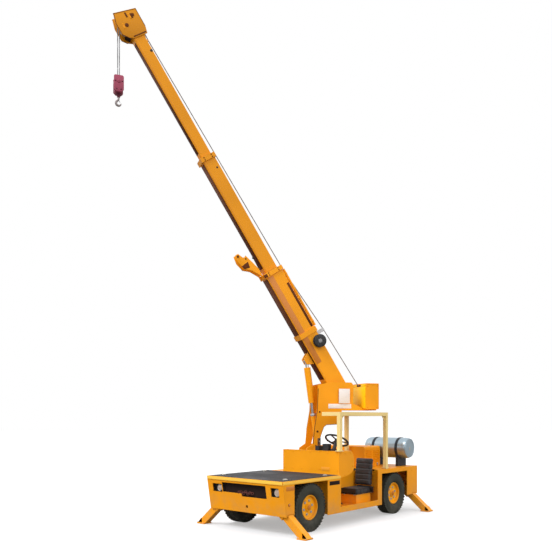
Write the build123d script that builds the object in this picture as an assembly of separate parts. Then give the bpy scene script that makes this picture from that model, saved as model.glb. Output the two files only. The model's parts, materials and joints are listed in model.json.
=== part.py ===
"""Small carry deck crane: flat load deck, side seat, slewing three-section boom.

Frame: origin on the ground at mid wheelbase, +X forward, +Y left, +Z up, millimetres.
Turret pieces are drawn in the turret's own frame (forward, left, up about the slew axis),
boom pieces in the boom's frame (along, left, above its pivot).
"""
from build123d import *
import os
from math import atan2, cos, hypot, radians, sin

# ---------------------------------------------------------------- driving sizes
# Wheels and axles
WHEELBASE = 1950
TRACK = 1080
TYRE_R = 295
TYRE_W = 170
TYRE_SHOULDER = 42
RIM_R = 152
RIM_W = 120
RIM_WALL = 12
RIM_DISH = 34
HUB_R = 52
HUB_LEN = 64
STUB_R = 24
STUB_PAST = 20
KINGPIN_OFFSET = 100
KINGPIN_R = 22
KNUCKLE_R = 34
KNUCKLE_H = 120
FORK_T = 20
FORK_GAP = 2
FORK_REACH = 30
AXLE_END_GAP = 20
AXLE_WIDTH = 90
AXLE_SEAT_LEN = 110
DIFF_R = 95
DIFF_HALF = 110
ARM_LEN = 150
ARM_W = 18
TIE_ROD_R = 9
TIE_PIN_R = 5
FIT_GAP = 0.05
RUN_GAP = 0.3

# Body and deck
BODY_PROUD = 10
SHEET = 8
TYRE_ROOM = 48
DECK_EDGE = 44
DECK_REAR = 380
FRONT_OVERHANG = 550
REAR_OVERHANG = 625
FRONT_RAKE = 70
NOSE_SHY = 20
MAT_T = 4
MAT_MARGIN = 22
FRONT_BOTTOM = 230
SIDE_BOTTOM = 243
SILL_BOTTOM = 170
SILL_TOP = 245
FLOOR_Z = 205
FRONT_ARCH_AHEAD = 335
FRONT_ARCH_BEHIND = 315
REAR_ARCH_AHEAD = 375
REAR_ARCH_BEHIND = 325
WELL_WALL_GAP = 60
DOORWAY_LEN = 100
WING_W = 60
REAR_DECK_STEP = 14
REAR_DECK_EDGE = 35

# Openings in the nose: across from its middle, down from the deck's edge
SLOT_Y = (-375, 358)
SLOT_DOWN = (22, 142)
SLOT_STEP_Y = (-50, 358)
SLOT_STEP_DOWN = (132, 177)
LAMP_Y = ((-548, -384), (436, 560))
LAMP_DOWN = ((46, 148), (37, 144))
LAMP_DEPTH = 42
LAMP_FLANGE = 8
LAMP_R = 44
LAMP_STAND = 20
TOW_HOLE = (32, 30)
TOW_HOLE_DOWN = 282
CUT_ROOM = 60

# Grille and lamps in the tail
GRILLE_HALF = 300
GRILLE_DOWN = (30, 230)
GRILLE_BARS = 9
GRILLE_BAR_W = 14
TAIL_LAMP_Y = 480
TAIL_LAMP_DOWN = 110
TAIL_LAMP_R = 42
TAIL_LAMP_T = 22

# Frame rails
RAIL_INNER_Y = 180
RAIL_W = 80
RAIL_DEPTH = 218
CROSS_W = 80
CROSS_H = 100

# Outriggers: beams slide in oblique housings
OUTRIGGER_AHEAD = 405
OUTRIGGER_BEHIND = 525
FOOT_OUT = 210
FOOT_X = 140
FOOT_Y = 130
FOOT_T = 15
BEAM_DEG = 40
BEAM_WIDTH = 90
BEAM_SHY = 222.4
BEAM_GAP = 5
BEAM_TRAVEL = 240
HOUSING_WALL = 8
HOUSING_OUT = 52
HOUSING_IN = 35
HOUSING_TIE = 90
HOUSING_TIE_SHY = 60
PAD_LEN = 60
PAD_IN = 20
NOTCH_GAP = 8

# Slew axis and turret: plates' front and back edges as (forward, below the pivot)
SLEW_X = 25
SLEW_DEG = -30
RING_BORE_R = 205
RING_R = 275
RING_H = 26
BEARING_GAP = 0.5
FLANGE_LIP = 12
FLANGE_H = 22
PLATE_HALF_GAP = 128
PLATE_T = 15
PLATE_FOOT = (-222, 255)
PLATE_FRONT = ((231, 785), (140, 725), (120, 520), (76, 270), (62, -80), (-120, -120))
PLATE_BACK = ((-440, -120), (-470, -80), (-460, 170), (-600, 235), (-600, 265), (-290, 265), (-285, 450),
              (-60, 462), (-24, 490), (28, 640), (52, 725), (-75, 790))
WEB_T = 12
SHELF_T = 15
PIVOT_S = -400
PIVOT_ABOVE_DECK = 1104
PIVOT_PIN_R = 32
PIVOT_BOSS_R = 55
PIN_PROUD = 18
WINCH_S = (-820, -620)
WINCH_HALF = 220
WINCH_H = 360
WINCH_CORNER = 12

# Boom
BOOM_DEG = 58
BOOM_AXIS = -85
#            rear end, front end, height, width, wall
BASE_TUBE = (-60, 1950, 254, 200, 8)
MID_TUBE = (1565, 3620, 186, 150, 7)
TIP_TUBE = (3230, 5300, 152, 116, 6)
TUBE_CORNER = 12
COLLAR_T = 60
COLLAR_LIP = 16
COLLAR_GAP = 5
BAND_AT = 980
BAND_LEN = 70
BAND_LIP = 10
EAR_HALF_GAP = 31
EAR_T = 16
EAR_FOOT = 90
EAR_TOE = 40
EAR_MARGIN = 35

# On the base section
REEL_AT = (810, -10)
REEL_R = 88
REEL_W = 55
REEL_STAND = 14
REEL_PLATE = 60
CONDUIT_X = (1020, 1885)
CONDUIT_R = 17
CONDUIT_IN = 24
GUIDE_AT = 905
GUIDE_RISE = 105
GUIDE_ROLLER_R = 24
GUIDE_HALF = 28
GUIDE_T = 8
GUIDE_LEN = 60
BRACKET_HALF = 40
BRACKET_T = 12
# bracket's outline: ahead of the base section's end, below its collar
BRACKET_OUTLINE = ((-60, 0), (0, 0), (280, 170), (230, 250), (50, 235))
BRACKET_TIE = (65, 175)
BRACKET_TIE_R = 20

# Boom head: cheek outline as (past the tip's end, above the pivot line)
CHEEK_OUTLINE = ((-120, -159), (-60, -255), (180, -275), (300, -235), (260, 60), (30, 60), (-120, 0))
CHEEK_T = 12
SHEAVE_PAST = 114
SHEAVE_V = -154
SHEAVE_R = 90
SHEAVE_W = 26
TOP_SHEAVE_PAST = 200
TOP_SHEAVE_V = -20
TOP_SHEAVE_R = 60
AXLE_PIN_R = 16
HEAD_PLATE_T = 10

# Falls, block and hook
ROPE_SPREAD = 44
ROPE_R = 5
FALL_LEN = 630
ROPE_SUNK = 30
BLOCK_H = 205
BLOCK_W = 130
BLOCK_THICK = 120
BLOCK_CORNER = 25
SHANK_R = 15
SHANK_LEN = 60
HOOK_R = 34
HOOK_T = 13
HOOK_DEG = 250

# Lift cylinder: lower pin ahead of the slew axis and above the deck, upper pin in the boom's frame
CYL_LOW_S = 0
CYL_LOW_RISE = 254
CYL_TOP = (660, -272)
CYL_PIN_R = 22
CYL_LUG_R = 42
CYL_LUG_T = 30
CYL_SWELL_R = 64
CYL_SWELL_GAP = 5
BARREL_R = 38
BARREL_BELOW = 320
BARREL_ABOVE = 545
BARREL_FLOOR = 15
ROD_INNER_END = 330
ROD_R = 22
ROD_EYE_R = 34
EYE_GAP = 5
SHROUD_R = 45
SHROUD_WALL = 4
SHROUD_BELOW_EYE = (95, 585)
SHROUD_CAP_T = 10

# Cowl ahead of the operator: side outline as (back from its face, down from its top)
COWL_AHEAD = 20
COWL_H = 304
COWL_RIGHT_Y = -320
COWL_IN = 15
COWL_SIDE = ((273, 0), (320, 50), (342, 125), (342, 230), (290, 285), (227, 310), (21, 344))
COWL_RIGHT_LEN = 110
COWL_SHELF = (70, 250, 330)
CONTROL_POD = (90, 60, 60)
CONTROL_POD_Y = 230
GAUGE_POD = (70, 90, 90)
GAUGE_POD_Y = 330
LEVERS = 3
LEVER_PITCH = 24
LEVER_R = 6
LEVER_H = 110

# Steering wheel, seat and guard
STEER_BACK = 175
STEER_IN = 177
STEER_RISE = 135
STEER_R = 165
GRIP_R = 13
SPOKE_W = 22
SPOKE_T = 8
BOSS_R = 30
BOSS_T = 26
COLUMN_DEG = 30
COLUMN_R = 24
COLUMN_BOOT_R = 44
COLUMN_GAP = 1
SEAT_BEHIND = 100
SEAT_LEN = 410
SEAT_SIDE_GAP = 75
SEAT_RISE = 225
CUSHION_T = 90
CUSHION_ROUND = 25
BACK_T = 80
BACK_H = 400
BACK_LEAN = 50
SEAT_BASE_INSET = 30
GUARD_TUBE = 50
GUARD_H = 810
GUARD_BEHIND = 160
GUARD_INNER_Y = 345
GUARD_BACK_Y = -80
GUARD_CORNER_X = (-200, -400)
ROOF_T = 4

# Tank, hood and engine
TANK_AHEAD = 200
TANK_IN = 15
TANK_LEN = 700
TANK_R = 153
TANK_DOME = 60
TANK_RISE = 270
SADDLE_AT = (150, 550)
SADDLE_W = 40
SADDLE_HALF = 120
STRAP_T = 6
HOOD_BEHIND = 250
HOOD_LEN = 425
HOOD_LEFT_Y = 215
HOOD_IN = 35
HOOD_H = 300
HOOD_T = 6
HOOD_CORNER = 30
HINGE_R = 8
HINGE_PIN_R = 4
HINGE_SUNK = 2
HINGE_INSET = 40
HINGE_LUG_T = 14
HINGE_LUG_HALF = 8
ENGINE_INSET = 28
ENGINE_Y = (-170, 150)
ENGINE_ROOM = 30
ENGINE_RISE = 10
ENGINE_FOOT = 40
ENGINE_FOOT_W = 70
ENGINE_HOLE_MARGIN = 15

# ---------------------------------------------------------------- worked-out places
AXLE_X = WHEELBASE / 2
WHEEL_Y = TRACK / 2
KINGPIN_Y = WHEEL_Y - KINGPIN_OFFSET
HALF_WIDTH = WHEEL_Y + TYRE_W / 2 + BODY_PROUD
INNER_WIDTH = HALF_WIDTH - SHEET
DECK_UNDER = 2 * TYRE_R + TYRE_ROOM
DECK_TOP = DECK_UNDER + SHEET
DECK_LIP = DECK_TOP - DECK_EDGE
DECK_FRONT = AXLE_X + FRONT_OVERHANG
REAR_END = -AXLE_X - REAR_OVERHANG
FRONT_ARCH = (AXLE_X - FRONT_ARCH_BEHIND, AXLE_X + FRONT_ARCH_AHEAD)
REAR_ARCH = (-AXLE_X - REAR_ARCH_BEHIND, -AXLE_X + REAR_ARCH_AHEAD)
WELL_WALL_X = FRONT_ARCH[0] - WELL_WALL_GAP
WELL_REAR = REAR_ARCH[1]
DOORWAY_REAR = WELL_REAR + DOORWAY_LEN
REAR_DECK_TOP = DECK_TOP + REAR_DECK_STEP
REAR_DECK_UNDER = REAR_DECK_TOP - SHEET
REAR_LIP = REAR_DECK_TOP - REAR_DECK_EDGE
RAIL_OUTER_Y = RAIL_INNER_Y + RAIL_W
RAIL_BOTTOM = DECK_UNDER - RAIL_DEPTH
OUTRIGGER_X = (AXLE_X + OUTRIGGER_AHEAD, -AXLE_X - OUTRIGGER_BEHIND)
FEET_Y = HALF_WIDTH + FOOT_OUT
HOUSING_SQUARE = BEAM_WIDTH + 2 * (BEAM_GAP + HOUSING_WALL)
HOUSING_Y = (RAIL_INNER_Y + HOUSING_IN, HALF_WIDTH - HOUSING_OUT)
BEAM_LEN = (FEET_Y - HOUSING_Y[0]) / cos(radians(BEAM_DEG)) - BEAM_SHY
RAIL_FRONT = OUTRIGGER_X[0] - HOUSING_SQUARE / 2
RAIL_REAR = OUTRIGGER_X[1] + HOUSING_SQUARE / 2
PIVOT_Z = DECK_TOP + PIVOT_ABOVE_DECK
SHELF_Z = PIVOT_Z - PLATE_BACK[4][1]
PLATE_OUTER_Y = PLATE_HALF_GAP + PLATE_T
CYL_LOW = (CYL_LOW_S, DECK_TOP + CYL_LOW_RISE)
HEAD_SHEAVE = (TIP_TUBE[1] + SHEAVE_PAST, SHEAVE_V)
TOP_SHEAVE = (TIP_TUBE[1] + TOP_SHEAVE_PAST, TOP_SHEAVE_V)
COWL_X = DECK_REAR + COWL_AHEAD
COWL_Y = (COWL_RIGHT_Y, HALF_WIDTH - COWL_IN)
COWL_TOP = DECK_TOP + COWL_H
STEER_CENTRE = (COWL_X - STEER_BACK, HALF_WIDTH - STEER_IN, COWL_TOP + STEER_RISE)
SEAT_X = (WELL_REAR + SEAT_BEHIND, WELL_REAR + SEAT_BEHIND + SEAT_LEN)
SEAT_Y = (RAIL_OUTER_Y + SHEET + BEAM_GAP, HALF_WIDTH - SEAT_SIDE_GAP)
SEAT_TOP = FLOOR_Z + SEAT_RISE
GUARD_TOP = DECK_TOP + GUARD_H
GUARD_LOW = GUARD_TOP - GUARD_TUBE
GUARD_REAR = WELL_REAR - GUARD_BEHIND
TANK_X = REAR_END + TANK_AHEAD
TANK_Y = (HALF_WIDTH - TANK_IN - TANK_LEN, HALF_WIDTH - TANK_IN)
TANK_Z = REAR_DECK_TOP + TANK_RISE
HOOD_X = (-AXLE_X - HOOD_BEHIND, -AXLE_X - HOOD_BEHIND + HOOD_LEN)
HOOD_Y = (HOOD_IN - HALF_WIDTH, HOOD_LEFT_Y)
HOOD_TOP = REAR_DECK_TOP + HOOD_H
HINGE_Y = HOOD_Y[0] - HINGE_R + HINGE_SUNK
HINGE_Z = REAR_DECK_TOP + HINGE_R + RUN_GAP
HINGE_X = (HOOD_X[0] + HINGE_INSET, HOOD_X[1] - HINGE_INSET)
ENGINE_X = (HOOD_X[0] + ENGINE_INSET, HOOD_X[1] - ENGINE_INSET)
ENGINE_Z = (RAIL_BOTTOM + ENGINE_RISE, HOOD_TOP - ENGINE_ROOM)


# ---------------------------------------------------------------- helpers
def block(x, y, z):
    """A box from its (low, high) span on each axis."""
    size = (x[1] - x[0], y[1] - y[0], z[1] - z[0])
    centre = ((x[0] + x[1]) / 2, (y[0] + y[1]) / 2, (z[0] + z[1]) / 2)
    return Pos(*centre) * Box(*size)


def around(middle, width):
    """The span of a width about its middle."""
    return (middle - width / 2, middle + width / 2)


def pair(side):
    """A left-side span mirrored to the right when side is -1."""
    return lambda a, b: (a, b) if side > 0 else (-b, -a)


def slab_xz(points, y):
    """A plate drawn in X and Z and thickened over a span of Y."""
    face = make_face(Plane.XZ * Polyline(*points, close=True))
    return Pos(0, y[0], 0) * extrude(face, y[1] - y[0], dir=(0, 1, 0))


def slab_xy(points, z):
    """A plate drawn in X and Y and thickened over a span of Z."""
    face = make_face(Plane.XY * Polyline(*points, close=True))
    return Pos(0, 0, z[0]) * extrude(face, z[1] - z[0], dir=(0, 0, 1))


def bar(start, end, radius):
    """A round bar between two points."""
    run = Vector(*end) - Vector(*start)
    return extrude(Plane(origin=start, z_dir=run) * Circle(radius), run.length)


def disc_y(x, z, radius, y):
    """A disc on a lateral axis over a span of Y."""
    return bar((x, y[0], z), (x, y[1], z), radius)


def join(*shapes):
    """All shapes fused."""
    result = shapes[0]
    for shape in shapes[1:]:
        result = result + shape
    return result


def in_turret(shape):
    """From the turret's frame to the machine's."""
    return Location((SLEW_X, 0, 0), (0, 0, SLEW_DEG)) * shape


def in_boom(shape):
    """From the boom's frame to the machine's."""
    return in_turret(Location((PIVOT_S, 0, PIVOT_Z), (0, -BOOM_DEG, 0)) * shape)


def boom_point(u, v):
    """A point of the boom's frame in the turret's plane."""
    a = radians(BOOM_DEG)
    return (PIVOT_S + u * cos(a) - v * sin(a), PIVOT_Z + u * sin(a) + v * cos(a))


def save(name, shape):
    """Write one sub-part."""
    export_step(shape, f"parts/{name}.step")


# ---------------------------------------------------------------- frame and axles
def frame_rails():
    parts = [block((RAIL_REAR, RAIL_FRONT), pair(s)(RAIL_INNER_Y, RAIL_OUTER_Y), (RAIL_BOTTOM, DECK_UNDER))
             for s in (1, -1)]
    for x in (RAIL_REAR + CROSS_W / 2, WELL_REAR, COWL_X + CROSS_W, AXLE_X, RAIL_FRONT - CROSS_W / 2):
        parts.append(block(around(x, CROSS_W), (-RAIL_INNER_Y, RAIL_INNER_Y), (RAIL_BOTTOM, RAIL_BOTTOM + CROSS_H)))
    return join(*parts)


def axle_seats(x):
    """Spring seats between an axle beam and the rails."""
    return [block(around(x, AXLE_SEAT_LEN), pair(s)(RAIL_INNER_Y, RAIL_OUTER_Y), (TYRE_R + FIT_GAP, RAIL_BOTTOM))
            for s in (1, -1)]


def front_axle():
    end = KINGPIN_Y - KNUCKLE_R - AXLE_END_GAP
    parts = [block(around(AXLE_X, AXLE_WIDTH), (-end, end), around(TYRE_R, AXLE_WIDTH))] + axle_seats(AXLE_X)
    fork_h = KNUCKLE_H + 2 * FORK_GAP + 2 * FORK_T
    width = around(AXLE_X, 2 * KNUCKLE_R)
    for side in (1, -1):
        for sign in (1, -1):
            z = TYRE_R + sign * (fork_h - FORK_T) / 2
            parts.append(block(width, pair(side)(end - FORK_REACH, KINGPIN_Y), around(z, FORK_T)))
            parts.append(Pos(AXLE_X, side * KINGPIN_Y, z) * Cylinder(KNUCKLE_R, FORK_T))
        parts.append(block(width, pair(side)(end - FORK_REACH, end), around(TYRE_R, fork_h)))
        parts.append(Pos(AXLE_X, side * KINGPIN_Y, TYRE_R) * Cylinder(KINGPIN_R, fork_h))
    return join(*parts)


def rear_axle():
    end = WHEEL_Y - RIM_W / 2 + SHEET
    reach = WHEEL_Y + STUB_PAST
    tube = bar((-AXLE_X, -end, TYRE_R), (-AXLE_X, end, TYRE_R), AXLE_WIDTH / 2)
    drop = bar((-AXLE_X, -DIFF_HALF, TYRE_R), (-AXLE_X, DIFF_HALF, TYRE_R), DIFF_R)
    stubs = bar((-AXLE_X, -reach, TYRE_R), (-AXLE_X, reach, TYRE_R), STUB_R)
    return join(tube, drop, stubs, *axle_seats(-AXLE_X))


def knuckle(side):
    """A steered knuckle: kingpin sleeve, stub axle and steering arm."""
    y = side * KINGPIN_Y
    sleeve = Pos(AXLE_X, y, TYRE_R) * Cylinder(KNUCKLE_R, KNUCKLE_H)
    stub = bar((AXLE_X, y, TYRE_R), (AXLE_X, side * (WHEEL_Y + STUB_PAST), TYRE_R), STUB_R)
    arm = block((AXLE_X - ARM_LEN, AXLE_X), around(y, ARM_W), around(TYRE_R, ARM_W))
    tip = tie_end(side)
    arm = arm + Pos(*tip, TYRE_R) * Cylinder(ARM_W / 2, ARM_W)
    pin_hole = Pos(*tip, TYRE_R) * Cylinder(TIE_PIN_R + RUN_GAP, ARM_W + 2 * FORK_GAP)
    bore = Pos(AXLE_X, y, TYRE_R) * Cylinder(KINGPIN_R + FIT_GAP, KNUCKLE_H + 2 * FORK_GAP)
    return join(sleeve, stub, arm) - bore - pin_hole


def tie_end(side):
    """Where the tie rod's pin meets a steering arm."""
    return (AXLE_X - ARM_LEN, side * KINGPIN_Y)


def tie_rod():
    """The rod under both steering arms, with a pin up through each."""
    z = TYRE_R - ARM_W / 2 - RUN_GAP - TIE_ROD_R
    ends = [(*tie_end(side), z) for side in (1, -1)]
    parts = [bar(ends[0], ends[1], TIE_ROD_R)]
    for x, y, low in ends:
        parts.append(Pos(x, y, low) * Cylinder(TIE_ROD_R, 2 * TIE_ROD_R))
        parts.append(bar((x, y, low), (x, y, TYRE_R + ARM_W / 2), TIE_PIN_R))
    return join(*parts)


def tyre(x, side):
    """A plain tyre with rounded shoulders."""
    body = Pos(x, side * WHEEL_Y, TYRE_R) * Rot(90, 0, 0) * Cylinder(TYRE_R, TYRE_W)
    body = fillet(body.edges().filter_by(GeomType.CIRCLE), TYRE_SHOULDER)
    return body - disc_y(x, TYRE_R, RIM_R, around(side * WHEEL_Y, 2 * TYRE_W))


def rim(x, side):
    """A steel wheel with a dished disc and a hub, drawn with its face upward."""
    face = RIM_W / 2 - RIM_DISH
    barrel = Cylinder(RIM_R, RIM_W) - Cylinder(RIM_R - RIM_WALL, 2 * RIM_W)
    disc = Pos(0, 0, face - RIM_WALL / 2) * Cylinder(RIM_R - RIM_WALL / 2, RIM_WALL)
    hub = Pos(0, 0, face + RIM_WALL - HUB_LEN / 2) * Cylinder(HUB_R, HUB_LEN)
    bore = Cylinder(STUB_R + FIT_GAP, 2 * (STUB_PAST + 2))
    bore = bore + Pos(0, 0, -RIM_W / 2) * Cylinder(STUB_R + FIT_GAP, RIM_W)
    return Pos(x, side * WHEEL_Y, TYRE_R) * Rot(-90 * side, 0, 0) * (join(barrel, disc, hub) - bore)


# ---------------------------------------------------------------- body panels
def front_x(z, inset=0):
    """The raked front face's X at height z, moved in by inset."""
    share = (DECK_TOP - z) / (DECK_TOP - FRONT_BOTTOM)
    return DECK_FRONT - FRONT_RAKE * share - inset


def raked(y, z, near, far):
    """A block whose front and back follow the raked nose, near and far inside it."""
    return slab_xz([(front_x(z[0], far), z[0]), (front_x(z[0], near), z[0]),
                    (front_x(z[1], near), z[1]), (front_x(z[1], far), z[1])], y)


def below_lip(down):
    """A span of Z given as (least, most) below the deck's lip."""
    return (DECK_LIP - down[1], DECK_LIP - down[0])


def nose_cut(y, down):
    """A cut right through the nose."""
    return raked(y, below_lip(down), -CUT_ROOM, CUT_ROOM)


def front_panel():
    plate = raked((-HALF_WIDTH, HALF_WIDTH), (FRONT_BOTTOM, DECK_LIP), 0, SHEET)
    plate = plate - nose_cut(SLOT_Y, SLOT_DOWN) - nose_cut(SLOT_STEP_Y, SLOT_STEP_DOWN)
    for y, down in zip(LAMP_Y, LAMP_DOWN):
        plate = plate - nose_cut(y, down)
    return plate - nose_cut((0, TOW_HOLE[0]), (TOW_HOLE_DOWN, TOW_HOLE_DOWN + TOW_HOLE[1]))


def lamps():
    """Head lamps in cans behind the nose, and round tail lamps on the tail."""
    parts = []
    for y, down in zip(LAMP_Y, LAMP_DOWN):
        z = below_lip(down)
        can = raked((y[0] - LAMP_FLANGE, y[1] + LAMP_FLANGE), (z[0] - LAMP_FLANGE, z[1] + LAMP_FLANGE),
                    SHEET, SHEET + LAMP_DEPTH)
        middle = (y[0] + y[1]) / 2, (z[0] + z[1]) / 2
        lens = bar((front_x(middle[1], SHEET + LAMP_STAND), *middle), (front_x(middle[1], SHEET / 2), *middle), LAMP_R)
        parts.append(can + lens)
    z = REAR_LIP - TAIL_LAMP_DOWN
    for side in (1, -1):
        y = side * TAIL_LAMP_Y
        parts.append(bar((REAR_END, y, z), (REAR_END - TAIL_LAMP_T, y, z), TAIL_LAMP_R))
    return Compound(parts)


def beam_frame(x, side):
    """A frame at the foot whose Z axis runs up and in along the beam."""
    up = (0, -side * cos(radians(BEAM_DEG)), sin(radians(BEAM_DEG)))
    return Plane(origin=(x, side * FEET_Y, FOOT_T), x_dir=(1, 0, 0), z_dir=up)


def beam_notch(x, side):
    """Room for an outrigger beam through a side panel's lower edge."""
    size = BEAM_WIDTH + 2 * NOTCH_GAP
    return extrude(beam_frame(x, side).offset(-BEAM_LEN) * Rectangle(size, size), 2 * BEAM_LEN)


def side_panels():
    """Front corner panels, and a box between each front arch and the turret."""
    parts = []
    for side in (1, -1):
        outer = pair(side)(INNER_WIDTH, HALF_WIDTH)
        inner = pair(side)(RAIL_OUTER_Y, INNER_WIDTH)
        corner = slab_xz([(FRONT_ARCH[1], SIDE_BOTTOM), (front_x(SIDE_BOTTOM, SHEET), SIDE_BOTTOM),
                          (front_x(DECK_LIP, SHEET), DECK_LIP), (FRONT_ARCH[1], DECK_LIP)], outer)
        parts.append(corner - beam_notch(OUTRIGGER_X[0], side))
        skin = block((DECK_REAR, FRONT_ARCH[0]), outer, (SILL_BOTTOM, DECK_LIP))
        fore = block((WELL_WALL_X, WELL_WALL_X + SHEET), inner, (SILL_BOTTOM, DECK_UNDER))
        aft = block((DECK_REAR, DECK_REAR + SHEET), inner, (SILL_BOTTOM, DECK_UNDER))
        base = block((DECK_REAR, WELL_WALL_X), inner, (SILL_BOTTOM, SILL_BOTTOM + SHEET))
        parts.append(join(skin, fore, aft, base))
    return Compound(parts)


def load_deck():
    plate = block((DECK_REAR, DECK_FRONT), (-HALF_WIDTH, HALF_WIDTH), (DECK_UNDER, DECK_TOP))
    nose = raked((-HALF_WIDTH, HALF_WIDTH), (DECK_LIP, DECK_TOP), 0, SHEET)
    sides = [block((DECK_REAR, DECK_FRONT - NOSE_SHY), pair(s)(INNER_WIDTH, HALF_WIDTH), (DECK_LIP, DECK_TOP))
             for s in (1, -1)]
    return join(plate, nose, *sides)


def deck_mat():
    side = HALF_WIDTH - MAT_MARGIN
    return block((COWL_X + MAT_T, DECK_FRONT - MAT_MARGIN), (-side, side), (DECK_TOP, DECK_TOP + MAT_T))


def floor_pan():
    """The operator's footwell: floor, inner wall, rear wall and sill."""
    run = (WELL_REAR, DECK_REAR)
    across = (RAIL_OUTER_Y, INNER_WIDTH)
    floor = block(run, across, (FLOOR_Z, FLOOR_Z + SHEET))
    wall = block(run, (RAIL_OUTER_Y, RAIL_OUTER_Y + SHEET), (FLOOR_Z, DECK_UNDER))
    back = block((WELL_REAR, WELL_REAR + SHEET), across, (FLOOR_Z, DECK_UNDER))
    sill = block(run, (INNER_WIDTH, HALF_WIDTH), (SILL_BOTTOM, SILL_TOP))
    return join(floor, wall, back, sill)


def hydraulic_tank():
    return block((WELL_REAR, DECK_REAR), (-HALF_WIDTH, -RAIL_OUTER_Y), (SILL_BOTTOM, DECK_UNDER))


def rear_fenders():
    parts = []
    for side in (1, -1):
        outer = pair(side)(INNER_WIDTH, HALF_WIDTH)
        ahead = DOORWAY_REAR if side > 0 else WELL_REAR
        skin = block((REAR_END, ahead), outer, (SIDE_BOTTOM, REAR_LIP))
        arch = block(REAR_ARCH, outer, (0, DECK_LIP))
        sill_room = block((WELL_REAR, ahead + SHEET), outer, (0, SILL_TOP))
        parts.append(skin - arch - sill_room - beam_notch(OUTRIGGER_X[1], side))
    return Compound(parts)


def rear_deck():
    plate = block((REAR_END, WELL_REAR), (-HALF_WIDTH, HALF_WIDTH), (REAR_DECK_UNDER, REAR_DECK_TOP))
    wing = block((WELL_REAR, DOORWAY_REAR), (HALF_WIDTH - WING_W, HALF_WIDTH), (REAR_DECK_UNDER, REAR_DECK_TOP))
    left = block((REAR_END, DOORWAY_REAR), (INNER_WIDTH, HALF_WIDTH), (REAR_LIP, REAR_DECK_TOP))
    right = block((REAR_END, WELL_REAR), (-HALF_WIDTH, -INNER_WIDTH), (REAR_LIP, REAR_DECK_TOP))
    tail = block((REAR_END, REAR_END + SHEET), (-HALF_WIDTH, HALF_WIDTH), (REAR_LIP, REAR_DECK_TOP))
    margin = ENGINE_HOLE_MARGIN
    hole = block((ENGINE_X[0] - margin, ENGINE_X[1] + margin), (HOOD_Y[0] + 2 * margin, ENGINE_Y[1] + margin),
                 (REAR_LIP, REAR_DECK_TOP + SHEET))
    near = HOOD_Y[0] - RUN_GAP
    lugs = []
    for x in (HINGE_X[0] - HINGE_LUG_T - RUN_GAP, HINGE_X[1] + RUN_GAP):
        along = (x, x + HINGE_LUG_T)
        lugs.append(block(along, (HINGE_Y - HINGE_LUG_HALF, HINGE_Y), (REAR_DECK_UNDER, HINGE_Z + HINGE_LUG_HALF - 2 * RUN_GAP)))
        lugs.append(block(along, (HINGE_Y - HINGE_LUG_HALF, near), (REAR_DECK_UNDER, HINGE_Z)))
        lugs.append(bar((along[0], HINGE_Y, HINGE_Z), (along[1], HINGE_Y, HINGE_Z), near - HINGE_Y))
    bore = bar((HOOD_X[0], HINGE_Y, HINGE_Z), (HOOD_X[1], HINGE_Y, HINGE_Z), HINGE_PIN_R + RUN_GAP)
    return join(plate, wing, tail, left, right, *lugs) - hole - bore


def rear_panel():
    """The tail plate with an upright-barred grille."""
    thick = (REAR_END, REAR_END + SHEET)
    z = (REAR_LIP - GRILLE_DOWN[1], REAR_LIP - GRILLE_DOWN[0])
    plate = block(thick, (-INNER_WIDTH, INNER_WIDTH), (SIDE_BOTTOM, REAR_LIP))
    plate = plate - block((REAR_END - SHEET, REAR_END + 2 * SHEET), (-GRILLE_HALF, GRILLE_HALF), z)
    pitch = 2 * GRILLE_HALF / (GRILLE_BARS + 1)
    bars = [block(thick, around(-GRILLE_HALF + pitch * (i + 1), GRILLE_BAR_W), z) for i in range(GRILLE_BARS)]
    return join(plate, *bars)


# ---------------------------------------------------------------- outriggers
def outrigger(x, side):
    """A sliding beam cut level over its foot plate."""
    below = FOOT_X
    beam = extrude(beam_frame(x, side).offset(-below) * Rectangle(BEAM_WIDTH, BEAM_WIDTH), BEAM_LEN + below)
    beam = beam - block(around(x, 2 * FOOT_X), around(side * FEET_Y, 2 * FEET_Y), (-BEAM_LEN, FOOT_T))
    return beam + block(around(x, FOOT_X), around(side * FEET_Y, FOOT_Y), (0, FOOT_T))


def outrigger_housings():
    """Two crossing sleeves at each end, tied under the deck, with wear pads at their mouths."""
    inner = BEAM_WIDTH + 2 * BEAM_GAP
    snug = BEAM_WIDTH + 2 * RUN_GAP
    near = (FEET_Y - HOUSING_Y[1]) / cos(radians(BEAM_DEG))
    far = (FEET_Y - HOUSING_Y[0]) / cos(radians(BEAM_DEG))
    room = BEAM_LEN + BEAM_TRAVEL + BEAM_GAP - (near - SHEET)
    pad = Rectangle(inner + 2, inner / 2) + Rectangle(inner / 2, inner + 2) - Rectangle(snug, snug)
    parts = []
    for x in OUTRIGGER_X:
        planes = [beam_frame(x, side) for side in (1, -1)]
        reach = HOUSING_Y[1] - HOUSING_TIE_SHY
        tie = block(around(x, HOUSING_SQUARE), (-reach, reach), (DECK_UNDER - HOUSING_TIE, DECK_UNDER))
        sleeves = [extrude(plane.offset(near) * Rectangle(HOUSING_SQUARE, HOUSING_SQUARE), far - near)
                   for plane in planes]
        hull = join(tie, *sleeves)
        hull = hull - block(around(x, 2 * HOUSING_SQUARE), (-FEET_Y, FEET_Y), (DECK_UNDER, DECK_UNDER + BEAM_LEN))
        for plane in planes:
            hull = hull - extrude(plane.offset(near - SHEET) * Rectangle(inner, inner), room)
        parts.append(join(hull, *[extrude(plane.offset(near + PAD_IN) * pad, PAD_LEN) for plane in planes]))
    return Compound(parts)


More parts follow.
